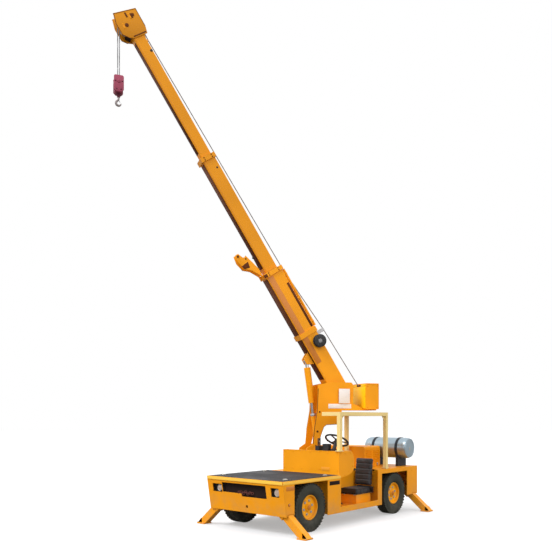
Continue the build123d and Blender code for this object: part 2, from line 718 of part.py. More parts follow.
# ---------------------------------------------------------------- power pack
def engine_block():
    feet_z = (ENGINE_Z[0] + ENGINE_FOOT, ENGINE_Z[0] + 2 * ENGINE_FOOT)
    feet = [block(around(x, ENGINE_FOOT_W), (-RAIL_INNER_Y, RAIL_INNER_Y), feet_z)
            for x in (ENGINE_X[0] + ENGINE_FOOT_W, ENGINE_X[1] - ENGINE_FOOT_W)]
    return join(block(ENGINE_X, ENGINE_Y, ENGINE_Z), *feet)


def engine_hood():
    """A thin cover, open below, with rounded long edges and a hinge roll along its right edge."""
    outer = block(HOOD_X, HOOD_Y, (REAR_DECK_TOP + BEARING_GAP, HOOD_TOP))
    outer = fillet(outer.edges().filter_by(Axis.X).group_by(Axis.Z)[-1], HOOD_CORNER)
    inner = block((HOOD_X[0] + HOOD_T, HOOD_X[1] - HOOD_T), (HOOD_Y[0] + HOOD_T, HOOD_Y[1] - HOOD_T),
                  (REAR_DECK_TOP - SHEET, HOOD_TOP - HOOD_T))
    shell = outer - fillet(inner.edges().filter_by(Axis.X).group_by(Axis.Z)[-1], HOOD_CORNER - HOOD_T)
    roll = bar((HINGE_X[0], HINGE_Y, HINGE_Z), (HINGE_X[1], HINGE_Y, HINGE_Z), HINGE_R)
    pin = bar((HINGE_X[0] - HINGE_LUG_T, HINGE_Y, HINGE_Z), (HINGE_X[1] + HINGE_LUG_T, HINGE_Y, HINGE_Z), HINGE_PIN_R)
    return join(shell, roll, pin)


def gas_tank():
    """A cylinder on its side with a shallow dome at each end."""
    ends = (TANK_Y[0] + TANK_DOME, TANK_Y[1] - TANK_DOME)
    body = disc_y(TANK_X, TANK_Z, TANK_R, ends)
    for y in ends:
        dome = Pos(TANK_X, y, TANK_Z) * Sphere(TANK_R)
        body = body + (dome & disc_y(TANK_X, TANK_Z, 2 * TANK_R, around(y, 2 * TANK_DOME)))
    return body


def tank_saddle():
    """Two feet, each with a strap round the tank."""
    parts = []
    for at in SADDLE_AT:
        y = around(TANK_Y[0] + at, SADDLE_W)
        foot = block(around(TANK_X, 2 * SADDLE_HALF), y, (REAR_DECK_TOP, TANK_Z - TANK_R / 2))
        strap = disc_y(TANK_X, TANK_Z, TANK_R + STRAP_T, y)
        parts.append(foot + strap - disc_y(TANK_X, TANK_Z, TANK_R, (y[0] - SHEET, y[1] + SHEET)))
    return Compound(parts)


# ---------------------------------------------------------------- operator's place
def cowl():
    back = COWL_X - SHEET
    front = block((back, COWL_X), COWL_Y, (DECK_TOP, COWL_TOP))
    edge = [(COWL_X - u, COWL_TOP - v) for u, v in COWL_SIDE]
    side = slab_xz([(back, DECK_TOP), (back, COWL_TOP), *edge, (edge[-1][0], DECK_TOP)],
                   (COWL_Y[1] - SHEET, COWL_Y[1]))
    right = block((COWL_X - COWL_RIGHT_LEN, back), (COWL_Y[0], COWL_Y[0] + SHEET), (DECK_TOP, COWL_TOP))
    narrow, y_in, y_out = COWL_SHELF
    top = slab_xy([(back, COWL_Y[0]), (back, COWL_Y[1]), (edge[0][0], COWL_Y[1]), (edge[0][0], y_out),
                   (COWL_X - narrow, y_in), (COWL_X - narrow, COWL_Y[0])], (COWL_TOP - SHEET, COWL_TOP))
    return join(front, side, right, top)


def steering_column():
    """The column with its boot, a gauge box and a control pod with levers."""
    x, y, z = STEER_CENTRE
    a = radians(COLUMN_DEG)
    drop = (z - COWL_TOP) / cos(a)
    short = BOSS_T / 2 + COLUMN_GAP
    foot = (x + drop * sin(a), y, COWL_TOP)
    post = bar((foot[0] + COLUMN_R * sin(a), y, COWL_TOP - COLUMN_R * cos(a)),
               (x + short * sin(a), y, z - short * cos(a)), COLUMN_R)
    post = post - block(around(foot[0], 4 * COLUMN_R), around(y, 4 * COLUMN_R), (COWL_TOP - 4 * COLUMN_R, COWL_TOP))
    boot = Pos(foot[0], y, COWL_TOP + COLUMN_R / 2) * Cylinder(COLUMN_BOOT_R, COLUMN_R)
    face = COWL_X - SHEET
    gauge = block((face - GAUGE_POD[0] - COLUMN_R, face - COLUMN_R), (GAUGE_POD_Y, GAUGE_POD_Y + GAUGE_POD[1]),
                  (COWL_TOP, COWL_TOP + GAUGE_POD[2]))
    pod_x = (face - CONTROL_POD[0], face)
    pod = block(pod_x, (CONTROL_POD_Y, CONTROL_POD_Y + CONTROL_POD[1]), (COWL_TOP, COWL_TOP + CONTROL_POD[2]))
    middle = CONTROL_POD_Y + CONTROL_POD[1] / 2
    top = COWL_TOP + CONTROL_POD[2] - LEVER_R
    levers = []
    for i in range(LEVERS):
        lever_x = pod_x[0] + CONTROL_POD[0] / 2 + (i - (LEVERS - 1) / 2) * LEVER_PITCH
        levers.append(bar((lever_x, middle, top), (lever_x, middle, top + LEVER_H), LEVER_R))
    return Compound([join(post, boot), gauge, join(pod, *levers)])


def steering_wheel():
    mean_r = STEER_R - GRIP_R
    spokes = [Rot(0, 0, a) * Pos(mean_r / 2, 0, 0) * Box(mean_r, SPOKE_W, SPOKE_T) for a in (0, 120, 240)]
    wheel = join(Torus(mean_r, GRIP_R), Cylinder(BOSS_R, BOSS_T), *spokes)
    return Location(STEER_CENTRE, (0, -COLUMN_DEG, 0)) * wheel


def seat_base():
    inset = SEAT_BASE_INSET
    return block((SEAT_X[0] + inset, SEAT_X[1] - inset), (SEAT_Y[0] + BEAM_GAP, SEAT_Y[1] - inset),
                 (FLOOR_Z + SHEET, SEAT_TOP - CUSHION_T))


def seat():
    """A cushion with a leaning back."""
    cushion = block(SEAT_X, SEAT_Y, (SEAT_TOP - CUSHION_T, SEAT_TOP))
    low = SEAT_TOP - CUSHION_T / 2
    top = SEAT_TOP + BACK_H
    rear = SEAT_X[0]
    back = slab_xz([(rear, low), (rear + BACK_T, low), (rear + BACK_T - BACK_LEAN, top), (rear - BACK_LEAN, top)],
                   SEAT_Y)
    return fillet(cushion.edges(), CUSHION_ROUND) + back


def guard():
    """A roof frame with a thin roof plate on three posts."""
    corner_a, corner_b = GUARD_CORNER_X
    outline = [(COWL_X, HALF_WIDTH), (COWL_X, GUARD_INNER_Y), (corner_a, GUARD_INNER_Y), (corner_b, GUARD_BACK_Y),
               (GUARD_REAR, GUARD_BACK_Y), (GUARD_REAR, HALF_WIDTH)]
    rim_z = (GUARD_LOW, GUARD_TOP - ROOF_T)
    core = offset(make_face(Polyline(*outline, close=True)), -GUARD_TUBE)
    frame = slab_xy(outline, rim_z) - Pos(0, 0, GUARD_LOW - GUARD_TUBE) * extrude(core, 3 * GUARD_TUBE, dir=(0, 0, 1))
    roof = slab_xy(outline, (GUARD_TOP - ROOF_T, GUARD_TOP))
    outer_y = HALF_WIDTH - GUARD_TUBE
    posts = [block((x, x + GUARD_TUBE), (y, y + GUARD_TUBE), (z, GUARD_LOW))
             for x, y, z in ((COWL_X - GUARD_TUBE, outer_y, COWL_TOP), (GUARD_REAR, outer_y, REAR_DECK_TOP),
                             (GUARD_REAR, GUARD_BACK_Y, REAR_DECK_TOP))]
    return join(frame, roof, *posts)


# ---------------------------------------------------------------- slew ring and turret
def slew_base():
    """The plate on the rails that carries the slew ring."""
    plate = block((WELL_REAR, DECK_REAR), (-RAIL_OUTER_Y, RAIL_OUTER_Y), (DECK_UNDER, DECK_TOP))
    return plate - Pos(SLEW_X, 0, DECK_TOP) * Cylinder(RING_BORE_R, 4 * SHEET)


def slew_ring():
    ring = Cylinder(RING_R, RING_H) - Cylinder(RING_BORE_R, 2 * RING_H)
    return Pos(SLEW_X, 0, DECK_TOP + RING_H / 2) * ring


def plate_outline(base):
    """The side plates' outline, from the foot's front corner round to its back."""
    edge = [(s, PIVOT_Z - down) for s, down in PLATE_FRONT + PLATE_BACK]
    return [(PLATE_FOOT[1], base), *edge, (PLATE_FOOT[0], base)]


def turret():
    """Flange, two waisted side plates with webs between them, and a shelf for the winch."""
    low = DECK_TOP + RING_H + BEARING_GAP
    top = low + FLANGE_H
    flange = Pos(0, 0, (low + top) / 2) * (Cylinder(RING_R + FLANGE_LIP, FLANGE_H) - Cylinder(RING_BORE_R, 2 * FLANGE_H))
    outline = plate_outline(top - 1)
    plates = [slab_xz(outline, pair(side)(PLATE_HALF_GAP, PLATE_OUTER_Y)) for side in (1, -1)]
    between = (-PLATE_HALF_GAP, PLATE_HALF_GAP)
    back = [(s, PIVOT_Z - down) for s, down in PLATE_BACK] + [(PLATE_FOOT[0], top - 1)]
    webs = [slab_xz(run + [(s + WEB_T, z) for s, z in reversed(run)], between) for run in (back[5:7], back[-2:])]
    shelf_s = (WINCH_S[0], PLATE_BACK[5][0] + WEB_T)
    shelf = block(shelf_s, (-PLATE_OUTER_Y, PLATE_OUTER_Y), (SHELF_Z, SHELF_Z + SHELF_T))
    pin_reach = PLATE_OUTER_Y + PIN_PROUD
    pin = disc_y(PIVOT_S, PIVOT_Z, PIVOT_PIN_R, (-pin_reach, pin_reach))
    lugs = [disc_y(*CYL_LOW, CYL_LUG_R, pair(side)(PLATE_HALF_GAP - CYL_LUG_T, PLATE_HALF_GAP)) for side in (1, -1)]
    bores = disc_y(*CYL_LOW, CYL_PIN_R + FIT_GAP, (-pin_reach, pin_reach))
    return in_turret(join(flange, *plates, *webs, shelf, pin, *lugs) - bores)


def winch_housing():
    low = SHELF_Z + SHELF_T
    box = block(WINCH_S, (-WINCH_HALF, WINCH_HALF), (low, low + WINCH_H))
    return in_turret(fillet(box.edges().filter_by(Axis.Y), WINCH_CORNER))


# ---------------------------------------------------------------- boom
def tube_of(section):
    """A hollow boom section with rounded corners, in the boom's frame."""
    rear, front, height, width, wall = section
    body = block((rear, front), around(0, width), around(BOOM_AXIS, height))
    body = fillet(body.edges().filter_by(Axis.X), TUBE_CORNER)
    core = block((rear - SHEET, front + SHEET), around(0, width - 2 * wall), around(BOOM_AXIS, height - 2 * wall))
    return body - core


def sleeve(x, section, gap):
    """The space that a section takes over a span of X, with a gap all round."""
    return block(x, around(0, section[3] + 2 * gap), around(BOOM_AXIS, section[2] + 2 * gap))


def collar(section, inner):
    """The end collar of a section, with wear pads round the next one."""
    span = (section[1] - COLLAR_T, section[1])
    past = (span[0] - SHEET, span[1] + SHEET)
    gap = COLLAR_GAP + 1
    ring = sleeve(span, section, COLLAR_LIP) - sleeve(past, inner, COLLAR_GAP)
    upright = block(span, around(0, inner[3] / 2), around(BOOM_AXIS, inner[2] + 2 * gap))
    level = block(span, around(0, inner[3] + 2 * gap), around(BOOM_AXIS, inner[2] / 2))
    return ring + (join(upright, level) - sleeve(past, inner, RUN_GAP))


def band(section, at):
    """A wrap plate round a section."""
    span = around(at, BAND_LEN)
    return sleeve(span, section, BAND_LIP) - sleeve((span[0] - SHEET, span[1] + SHEET), section, -1)


def boom_base():
    body = tube_of(BASE_TUBE) + collar(BASE_TUBE, MID_TUBE) + band(BASE_TUBE, BAND_AT)
    bottom = BOOM_AXIS - BASE_TUBE[2] / 2 + 1
    u, v = CYL_TOP
    ear = [(u - EAR_FOOT, bottom), (u - EAR_TOE, v - EAR_MARGIN), (u + EAR_TOE, v - EAR_MARGIN), (u + EAR_FOOT, bottom)]
    ears = [slab_xz(ear, pair(side)(EAR_HALF_GAP, EAR_HALF_GAP + EAR_T)) for side in (1, -1)]
    reach = PLATE_HALF_GAP - COLLAR_GAP
    boss = disc_y(0, 0, PIVOT_BOSS_R, (-reach, reach))
    bore = disc_y(0, 0, PIVOT_PIN_R + FIT_GAP, (-2 * reach, 2 * reach))
    return in_boom(join(body, boss, *ears) - bore)


def cord_reel():
    """A spring reel on the base section's left side."""
    side = BASE_TUBE[3] / 2
    u, v = REEL_AT
    top = min(v + REEL_PLATE, BOOM_AXIS + BASE_TUBE[2] / 2)
    drum = disc_y(u, v, REEL_R, (side + REEL_STAND, side + REEL_STAND + REEL_W))
    plate = block(around(u, 2 * REEL_PLATE), (side, side + REEL_STAND), (v - REEL_PLATE, top))
    return in_boom(join(drum, plate))


def conduit():
    """The round tube along the base section's top left edge, on two feet."""
    top = BOOM_AXIS + BASE_TUBE[2] / 2
    y = BASE_TUBE[3] / 2 - CONDUIT_IN
    v = top + CONDUIT_R + SHEET
    tube = bar((CONDUIT_X[0], y, v), (CONDUIT_X[1], y, v), CONDUIT_R)
    feet = [block(around(x, COLLAR_T), around(y, CONDUIT_R), (top, v))
            for x in (CONDUIT_X[0] + COLLAR_T, CONDUIT_X[1] - COLLAR_T)]
    return in_boom(join(tube, *feet))


def rope_guide():
    """A roller between two ears on top of the base section."""
    top = BOOM_AXIS + BASE_TUBE[2] / 2
    v = top + GUIDE_RISE
    parts = [disc_y(GUIDE_AT, v, GUIDE_ROLLER_R, (-GUIDE_HALF, GUIDE_HALF))]
    half = GUIDE_LEN / 2
    ear = [(GUIDE_AT - half, top), (GUIDE_AT - half / 2, v + half), (GUIDE_AT + half / 2, v + half), (GUIDE_AT + half, top)]
    parts += [slab_xz(ear, pair(side)(GUIDE_HALF, GUIDE_HALF + GUIDE_T)) for side in (1, -1)]
    return in_boom(join(*parts))


def hook_bracket():
    """The stowage bracket under the base section's end."""
    end = BASE_TUBE[1]
    bottom = BOOM_AXIS - BASE_TUBE[2] / 2 - COLLAR_LIP
    outline = [(end + u, bottom - v) for u, v in BRACKET_OUTLINE]
    outer = BRACKET_HALF + BRACKET_T
    plates = [slab_xz(outline, pair(side)(BRACKET_HALF, outer)) for side in (1, -1)]
    tie = disc_y(end + BRACKET_TIE[0], bottom - BRACKET_TIE[1], BRACKET_TIE_R, (-outer, outer))
    return in_boom(join(*plates, tie))


def boom_mid():
    return in_boom(tube_of(MID_TUBE) + collar(MID_TUBE, TIP_TUBE))


def boom_tip():
    return in_boom(tube_of(TIP_TUBE))


def boom_head():
    """Two cheeks on the tip's sides, an end plate and the two sheave pins."""
    end = TIP_TUBE[1]
    half = TIP_TUBE[3] / 2
    reach = half + CHEEK_T
    outline = [(end + u, v) for u, v in CHEEK_OUTLINE]
    cheeks = [slab_xz(outline, pair(side)(half, reach)) for side in (1, -1)]
    pins = [disc_y(*at, AXLE_PIN_R, (-reach, reach)) for at in (HEAD_SHEAVE, TOP_SHEAVE)]
    plate = block((end, end + HEAD_PLATE_T), (-half, half), around(BOOM_AXIS, TIP_TUBE[2]))
    return in_boom(join(*cheeks, *pins, plate))


def head_sheaves():
    """Two sheaves for the falls and one over them."""
    parts = []
    for (u, v), radius, y in ((HEAD_SHEAVE, SHEAVE_R, -ROPE_SPREAD / 2), (HEAD_SHEAVE, SHEAVE_R, ROPE_SPREAD / 2),
                              (TOP_SHEAVE, TOP_SHEAVE_R, 0)):
        wheel = disc_y(u, v, radius, around(y, SHEAVE_W))
        parts.append(wheel - disc_y(u, v, AXLE_PIN_R, around(y, 2 * SHEAVE_W)))
    return in_boom(Compound(parts))


# ---------------------------------------------------------------- falls, block and hook
def fall_line():
    """The falls' distance ahead of the slew axis, their top and the hook block's top."""
    s, z = boom_point(*HEAD_SHEAVE)
    return s + SHEAVE_R + ROPE_R, z, z - FALL_LEN


def hoist_ropes():
    s, z, top = fall_line()
    return in_turret(Compound([bar((s, y, top - ROPE_SUNK), (s, y, z), ROPE_R)
                               for y in (-ROPE_SPREAD / 2, ROPE_SPREAD / 2)]))


def hook_block():
    s, z, top = fall_line()
    body = block(around(s, BLOCK_THICK), around(0, BLOCK_W), (top - BLOCK_H, top))
    body = fillet(body.edges().filter_by(Axis.Y), BLOCK_CORNER)
    for y in (-ROPE_SPREAD / 2, ROPE_SPREAD / 2):
        body = body - bar((s, y, top - ROPE_SUNK), (s, y, top + ROPE_SUNK), ROPE_R)
    return in_turret(body)


def hook():
    """A shank and a round bow, open to one side."""
    s, z, block_top = fall_line()
    top = block_top - BLOCK_H - BEARING_GAP
    shank = bar((s, 0, top - SHANK_LEN), (s, 0, top), SHANK_R)
    plane = Plane(origin=(s, 0, top - SHANK_LEN - HOOK_R), x_dir=(0, 1, 0), z_dir=(1, 0, 0))
    path = plane * CenterArc((0, 0), HOOK_R, 90, -HOOK_DEG)
    bow = sweep(Plane(origin=path @ 0, z_dir=path % 0) * Circle(HOOK_T), path=path)
    return in_turret(join(shank, bow))


# ---------------------------------------------------------------- lift cylinder
def cylinder_line():
    """The cylinder's length between pins and its elevation in the turret's plane."""
    s, z = boom_point(*CYL_TOP)
    run = (s - CYL_LOW[0], z - CYL_LOW[1])
    return hypot(*run), atan2(run[1], run[0])


def along_cylinder(d):
    """The point at distance d up the cylinder from its lower pin."""
    a = cylinder_line()[1]
    return (CYL_LOW[0] + d * cos(a), 0, CYL_LOW[1] + d * sin(a))


def cylinder_barrel():
    shell = bar(along_cylinder(-BARREL_BELOW), along_cylinder(BARREL_ABOVE), BARREL_R)
    bore = bar(along_cylinder(BARREL_FLOOR - BARREL_BELOW), along_cylinder(BARREL_ABOVE + 1), ROD_R + RUN_GAP)
    pin = disc_y(*CYL_LOW, CYL_PIN_R, (-PLATE_OUTER_Y, PLATE_OUTER_Y))
    reach = PLATE_HALF_GAP - CYL_LUG_T - CYL_SWELL_GAP
    swell = disc_y(*CYL_LOW, CYL_SWELL_R, (-reach, reach))
    return in_turret(join(shell, pin, swell) - bore)


def cylinder_rod():
    """The rod, the eye that stands between the boom's ears, and the shroud that slides over the barrel."""
    reach = cylinder_line()[0]
    reach_y = EAR_HALF_GAP - EYE_GAP
    rod = bar(along_cylinder(ROD_INNER_END), along_cylinder(reach - ROD_R), ROD_R)
    top = along_cylinder(reach)
    eye = disc_y(top[0], top[2], ROD_EYE_R, (-reach_y, reach_y))
    high, low = (reach - d for d in SHROUD_BELOW_EYE)
    shroud = bar(along_cylinder(low), along_cylinder(high), SHROUD_R)
    hollow = bar(along_cylinder(low - SHROUD_CAP_T), along_cylinder(high - SHROUD_CAP_T), SHROUD_R - SHROUD_WALL)
    return in_turret(join(shroud - hollow, rod, eye))


# ---------------------------------------------------------------- write everything
SINGLE_PIECES = (
    frame_rails, front_axle, rear_axle, tie_rod, outrigger_housings, front_panel, side_panels, lamps, load_deck,
    deck_mat, floor_pan, hydraulic_tank, rear_fenders, rear_deck, rear_panel, engine_block, engine_hood, gas_tank,
    tank_saddle, cowl, steering_column, steering_wheel, seat_base, seat, guard, slew_base, slew_ring, turret,
    winch_housing, boom_base, cord_reel, conduit, rope_guide, hook_bracket, boom_mid, boom_tip, boom_head,
    head_sheaves, hoist_ropes, hook_block, hook, cylinder_barrel, cylinder_rod)

os.makedirs("parts", exist_ok=True)
for make in SINGLE_PIECES:
    save(make.__name__, make())
for hand, side in (("left", 1), ("right", -1)):
    save(f"knuckle_{hand}", knuckle(side))
    for label, x in (("front", AXLE_X), ("rear", -AXLE_X)):
        save(f"tyre_{label}_{hand}", tyre(x, side))
        save(f"rim_{label}_{hand}", rim(x, side))
    for label, x in zip(("front", "rear"), OUTRIGGER_X):
        save(f"outrigger_{label}_{hand}", outrigger(x, side))
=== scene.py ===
"""Looks for a small carry deck crane: finishes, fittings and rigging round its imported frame.

Frame: origin on the ground at mid wheelbase, +X forward, +Y left, +Z up, in metres.
Turret pieces are laid out forward, left and up about the slew axis, boom pieces
along, left and above the boom's pivot, and cylinder pieces along the lift cylinder.
"""
import sys
import json
from math import atan2, cos, exp, pi, radians, sin

import bmesh
import bpy
from bpy.types import Operator, PropertyGroup
from mathutils import Matrix, Vector
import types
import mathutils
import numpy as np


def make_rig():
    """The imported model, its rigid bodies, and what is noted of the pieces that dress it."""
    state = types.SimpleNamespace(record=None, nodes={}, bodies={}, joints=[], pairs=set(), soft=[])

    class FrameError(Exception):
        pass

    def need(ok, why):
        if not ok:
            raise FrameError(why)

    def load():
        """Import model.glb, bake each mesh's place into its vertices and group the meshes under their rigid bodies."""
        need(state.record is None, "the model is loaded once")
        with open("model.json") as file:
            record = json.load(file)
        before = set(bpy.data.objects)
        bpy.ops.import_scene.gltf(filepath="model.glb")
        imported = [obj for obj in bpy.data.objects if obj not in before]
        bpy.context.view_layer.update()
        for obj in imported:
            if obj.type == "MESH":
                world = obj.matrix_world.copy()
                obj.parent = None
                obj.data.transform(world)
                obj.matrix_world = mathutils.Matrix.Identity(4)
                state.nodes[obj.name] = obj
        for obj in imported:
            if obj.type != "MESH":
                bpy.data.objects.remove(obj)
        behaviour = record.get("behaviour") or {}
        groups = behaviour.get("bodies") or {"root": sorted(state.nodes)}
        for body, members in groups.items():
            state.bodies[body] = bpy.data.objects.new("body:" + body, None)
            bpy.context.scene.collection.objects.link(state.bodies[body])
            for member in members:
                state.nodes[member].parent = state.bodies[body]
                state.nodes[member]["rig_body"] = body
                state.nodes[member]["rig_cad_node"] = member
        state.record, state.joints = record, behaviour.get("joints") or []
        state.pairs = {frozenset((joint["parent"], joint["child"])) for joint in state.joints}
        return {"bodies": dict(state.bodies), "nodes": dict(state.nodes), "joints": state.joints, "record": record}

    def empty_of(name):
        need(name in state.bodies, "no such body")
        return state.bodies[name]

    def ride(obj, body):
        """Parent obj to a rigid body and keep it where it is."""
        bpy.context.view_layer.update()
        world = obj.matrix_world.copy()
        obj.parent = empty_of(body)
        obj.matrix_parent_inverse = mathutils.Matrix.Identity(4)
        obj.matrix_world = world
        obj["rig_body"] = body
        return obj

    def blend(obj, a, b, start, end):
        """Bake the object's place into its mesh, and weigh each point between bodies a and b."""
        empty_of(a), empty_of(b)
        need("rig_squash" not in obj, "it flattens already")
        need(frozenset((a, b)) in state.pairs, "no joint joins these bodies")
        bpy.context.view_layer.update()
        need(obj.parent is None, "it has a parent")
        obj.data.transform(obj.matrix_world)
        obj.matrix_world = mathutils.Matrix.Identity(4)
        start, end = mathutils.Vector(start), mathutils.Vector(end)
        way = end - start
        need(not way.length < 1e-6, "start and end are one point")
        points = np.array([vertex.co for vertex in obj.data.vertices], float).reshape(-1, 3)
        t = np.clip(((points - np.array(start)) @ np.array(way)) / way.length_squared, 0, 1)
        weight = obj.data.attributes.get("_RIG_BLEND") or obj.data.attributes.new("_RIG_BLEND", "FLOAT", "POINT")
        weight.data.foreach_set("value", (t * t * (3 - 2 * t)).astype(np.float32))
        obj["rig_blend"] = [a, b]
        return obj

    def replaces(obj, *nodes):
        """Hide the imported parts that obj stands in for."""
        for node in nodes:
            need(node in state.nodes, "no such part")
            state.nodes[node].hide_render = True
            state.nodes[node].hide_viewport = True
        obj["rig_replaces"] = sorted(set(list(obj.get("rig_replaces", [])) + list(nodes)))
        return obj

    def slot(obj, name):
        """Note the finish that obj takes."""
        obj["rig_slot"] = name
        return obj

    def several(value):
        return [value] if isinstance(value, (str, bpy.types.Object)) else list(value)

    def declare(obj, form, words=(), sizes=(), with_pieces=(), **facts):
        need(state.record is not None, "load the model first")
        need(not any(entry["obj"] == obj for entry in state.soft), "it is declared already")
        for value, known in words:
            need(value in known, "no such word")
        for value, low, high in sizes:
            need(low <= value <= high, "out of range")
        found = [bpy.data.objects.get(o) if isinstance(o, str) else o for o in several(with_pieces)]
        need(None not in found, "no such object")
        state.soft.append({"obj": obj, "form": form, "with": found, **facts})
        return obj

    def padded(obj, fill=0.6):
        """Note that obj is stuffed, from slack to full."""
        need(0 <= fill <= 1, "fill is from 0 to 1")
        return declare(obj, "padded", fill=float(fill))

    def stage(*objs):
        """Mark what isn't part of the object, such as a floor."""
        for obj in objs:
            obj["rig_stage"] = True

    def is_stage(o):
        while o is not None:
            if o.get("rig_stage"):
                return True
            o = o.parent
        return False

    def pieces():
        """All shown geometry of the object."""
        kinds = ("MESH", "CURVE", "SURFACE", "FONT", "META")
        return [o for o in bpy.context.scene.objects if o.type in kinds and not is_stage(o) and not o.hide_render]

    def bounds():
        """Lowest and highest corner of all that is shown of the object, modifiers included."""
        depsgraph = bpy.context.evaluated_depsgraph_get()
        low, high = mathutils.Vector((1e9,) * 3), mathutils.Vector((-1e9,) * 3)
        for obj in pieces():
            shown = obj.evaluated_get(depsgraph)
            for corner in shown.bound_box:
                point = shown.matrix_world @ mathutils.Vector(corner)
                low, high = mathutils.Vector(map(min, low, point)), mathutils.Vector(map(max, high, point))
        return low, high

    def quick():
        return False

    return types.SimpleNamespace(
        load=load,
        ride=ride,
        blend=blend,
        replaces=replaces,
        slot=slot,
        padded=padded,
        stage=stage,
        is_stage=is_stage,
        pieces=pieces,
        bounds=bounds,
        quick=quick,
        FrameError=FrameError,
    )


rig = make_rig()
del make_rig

bl_info = {
    "name": "Carry Deck Crane",
    "version": (1, 0, 0),
    "blender": (4, 5, 0),
    "location": "3D View > Sidebar > Crane",
    "description": "Finishes, fittings and rigging of a small carry deck crane",
    "category": "Object",
}

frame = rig.load()
CAD_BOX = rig.bounds()
NODES = frame["nodes"]
JOINTS = {joint["name"]: joint for joint in frame["joints"]}
HANDS = (("left", 1), ("right", -1))
SIDES = (1, -1)
CORNERS = tuple((f"{end}_{hand}", side) for end in ("front", "rear") for hand, side in HANDS)
AHEAD, BACK, LEFT, UP = (Vector(axis) for axis in ((1, 0, 0), (-1, 0, 0), (0, 1, 0), (0, 0, 1)))
SMOOTH_ANGLE = radians(35)
FINISH = {}
TREES = {}


# ---- places
def upright_frame(origin, forward):
    """A frame at origin whose X runs forward and whose Y is level, to its left."""
    x = Vector(forward).normalized()
    y = UP.cross(x).normalized()
    turn = Matrix((x, y, x.cross(y))).transposed()
    return Matrix.Translation(origin) @ turn.to_4x4()


def joint_place(name):
    return Vector(JOINTS[name]["pos_m"])


def joint_axis(name):
    return Vector(JOINTS[name]["axis"])


MACHINE = Matrix.Identity(4)
BOOM = upright_frame(joint_place("luff"), joint_axis("telescope_mid"))
TURRET = upright_frame((*joint_place("slew")[:2], 0),
                       (*joint_axis("telescope_mid")[:2], 0))
CYLINDER = upright_frame(joint_place("cylinder_tilt"), joint_axis("cylinder_stroke"))


def corners_of(points):
    """The lowest and the highest corner of the box round some points."""
    return tuple(Vector(pick(p[k] for p in points) for k in range(3)) for pick in (min, max))


def span(node, place=MACHINE):
    """A CAD node's lowest and highest corner in a frame."""
    back = place.inverted()
    return corners_of([back @ vertex.co for vertex in NODES[node].data.vertices])


def islands(node, place=MACHINE):
    """The box of each separate solid in a CAD node, in a frame."""
    made = bmesh.new()
    made.from_mesh(NODES[node].data)
    bmesh.ops.remove_doubles(made, verts=made.verts, dist=1e-5)
    back, seen, boxes = place.inverted(), set(), []
    for first in made.verts:
        if first in seen:
            continue
        seen.add(first)
        stack, group = [first], []
        while stack:
            vertex = stack.pop()
            group.append(back @ vertex.co)
            for edge in vertex.link_edges:
                other = edge.other_vert(vertex)
                if other not in seen:
                    seen.add(other)
                    stack.append(other)
        boxes.append(corners_of(group))
    made.free()
    return boxes


# ---- shader maths
class Value:
    """A shader socket that arithmetic turns into Math nodes."""

    def __init__(self, graph, socket):
        self.graph, self.socket = graph, socket

    def maths(self, operation, other, swap=False):
        terms = (other, self) if swap else (self, other)
        return self.graph.node("ShaderNodeMath", {"operation": operation}, dict(enumerate(terms)))

    def __add__(self, other):
        return self.maths("ADD", other)

    __radd__ = __add__

    def __sub__(self, other):
        return self.maths("SUBTRACT", other)

    def __rsub__(self, other):
        return self.maths("SUBTRACT", other, swap=True)

    def __mul__(self, other):
        return self.maths("MULTIPLY", other)

    __rmul__ = __mul__


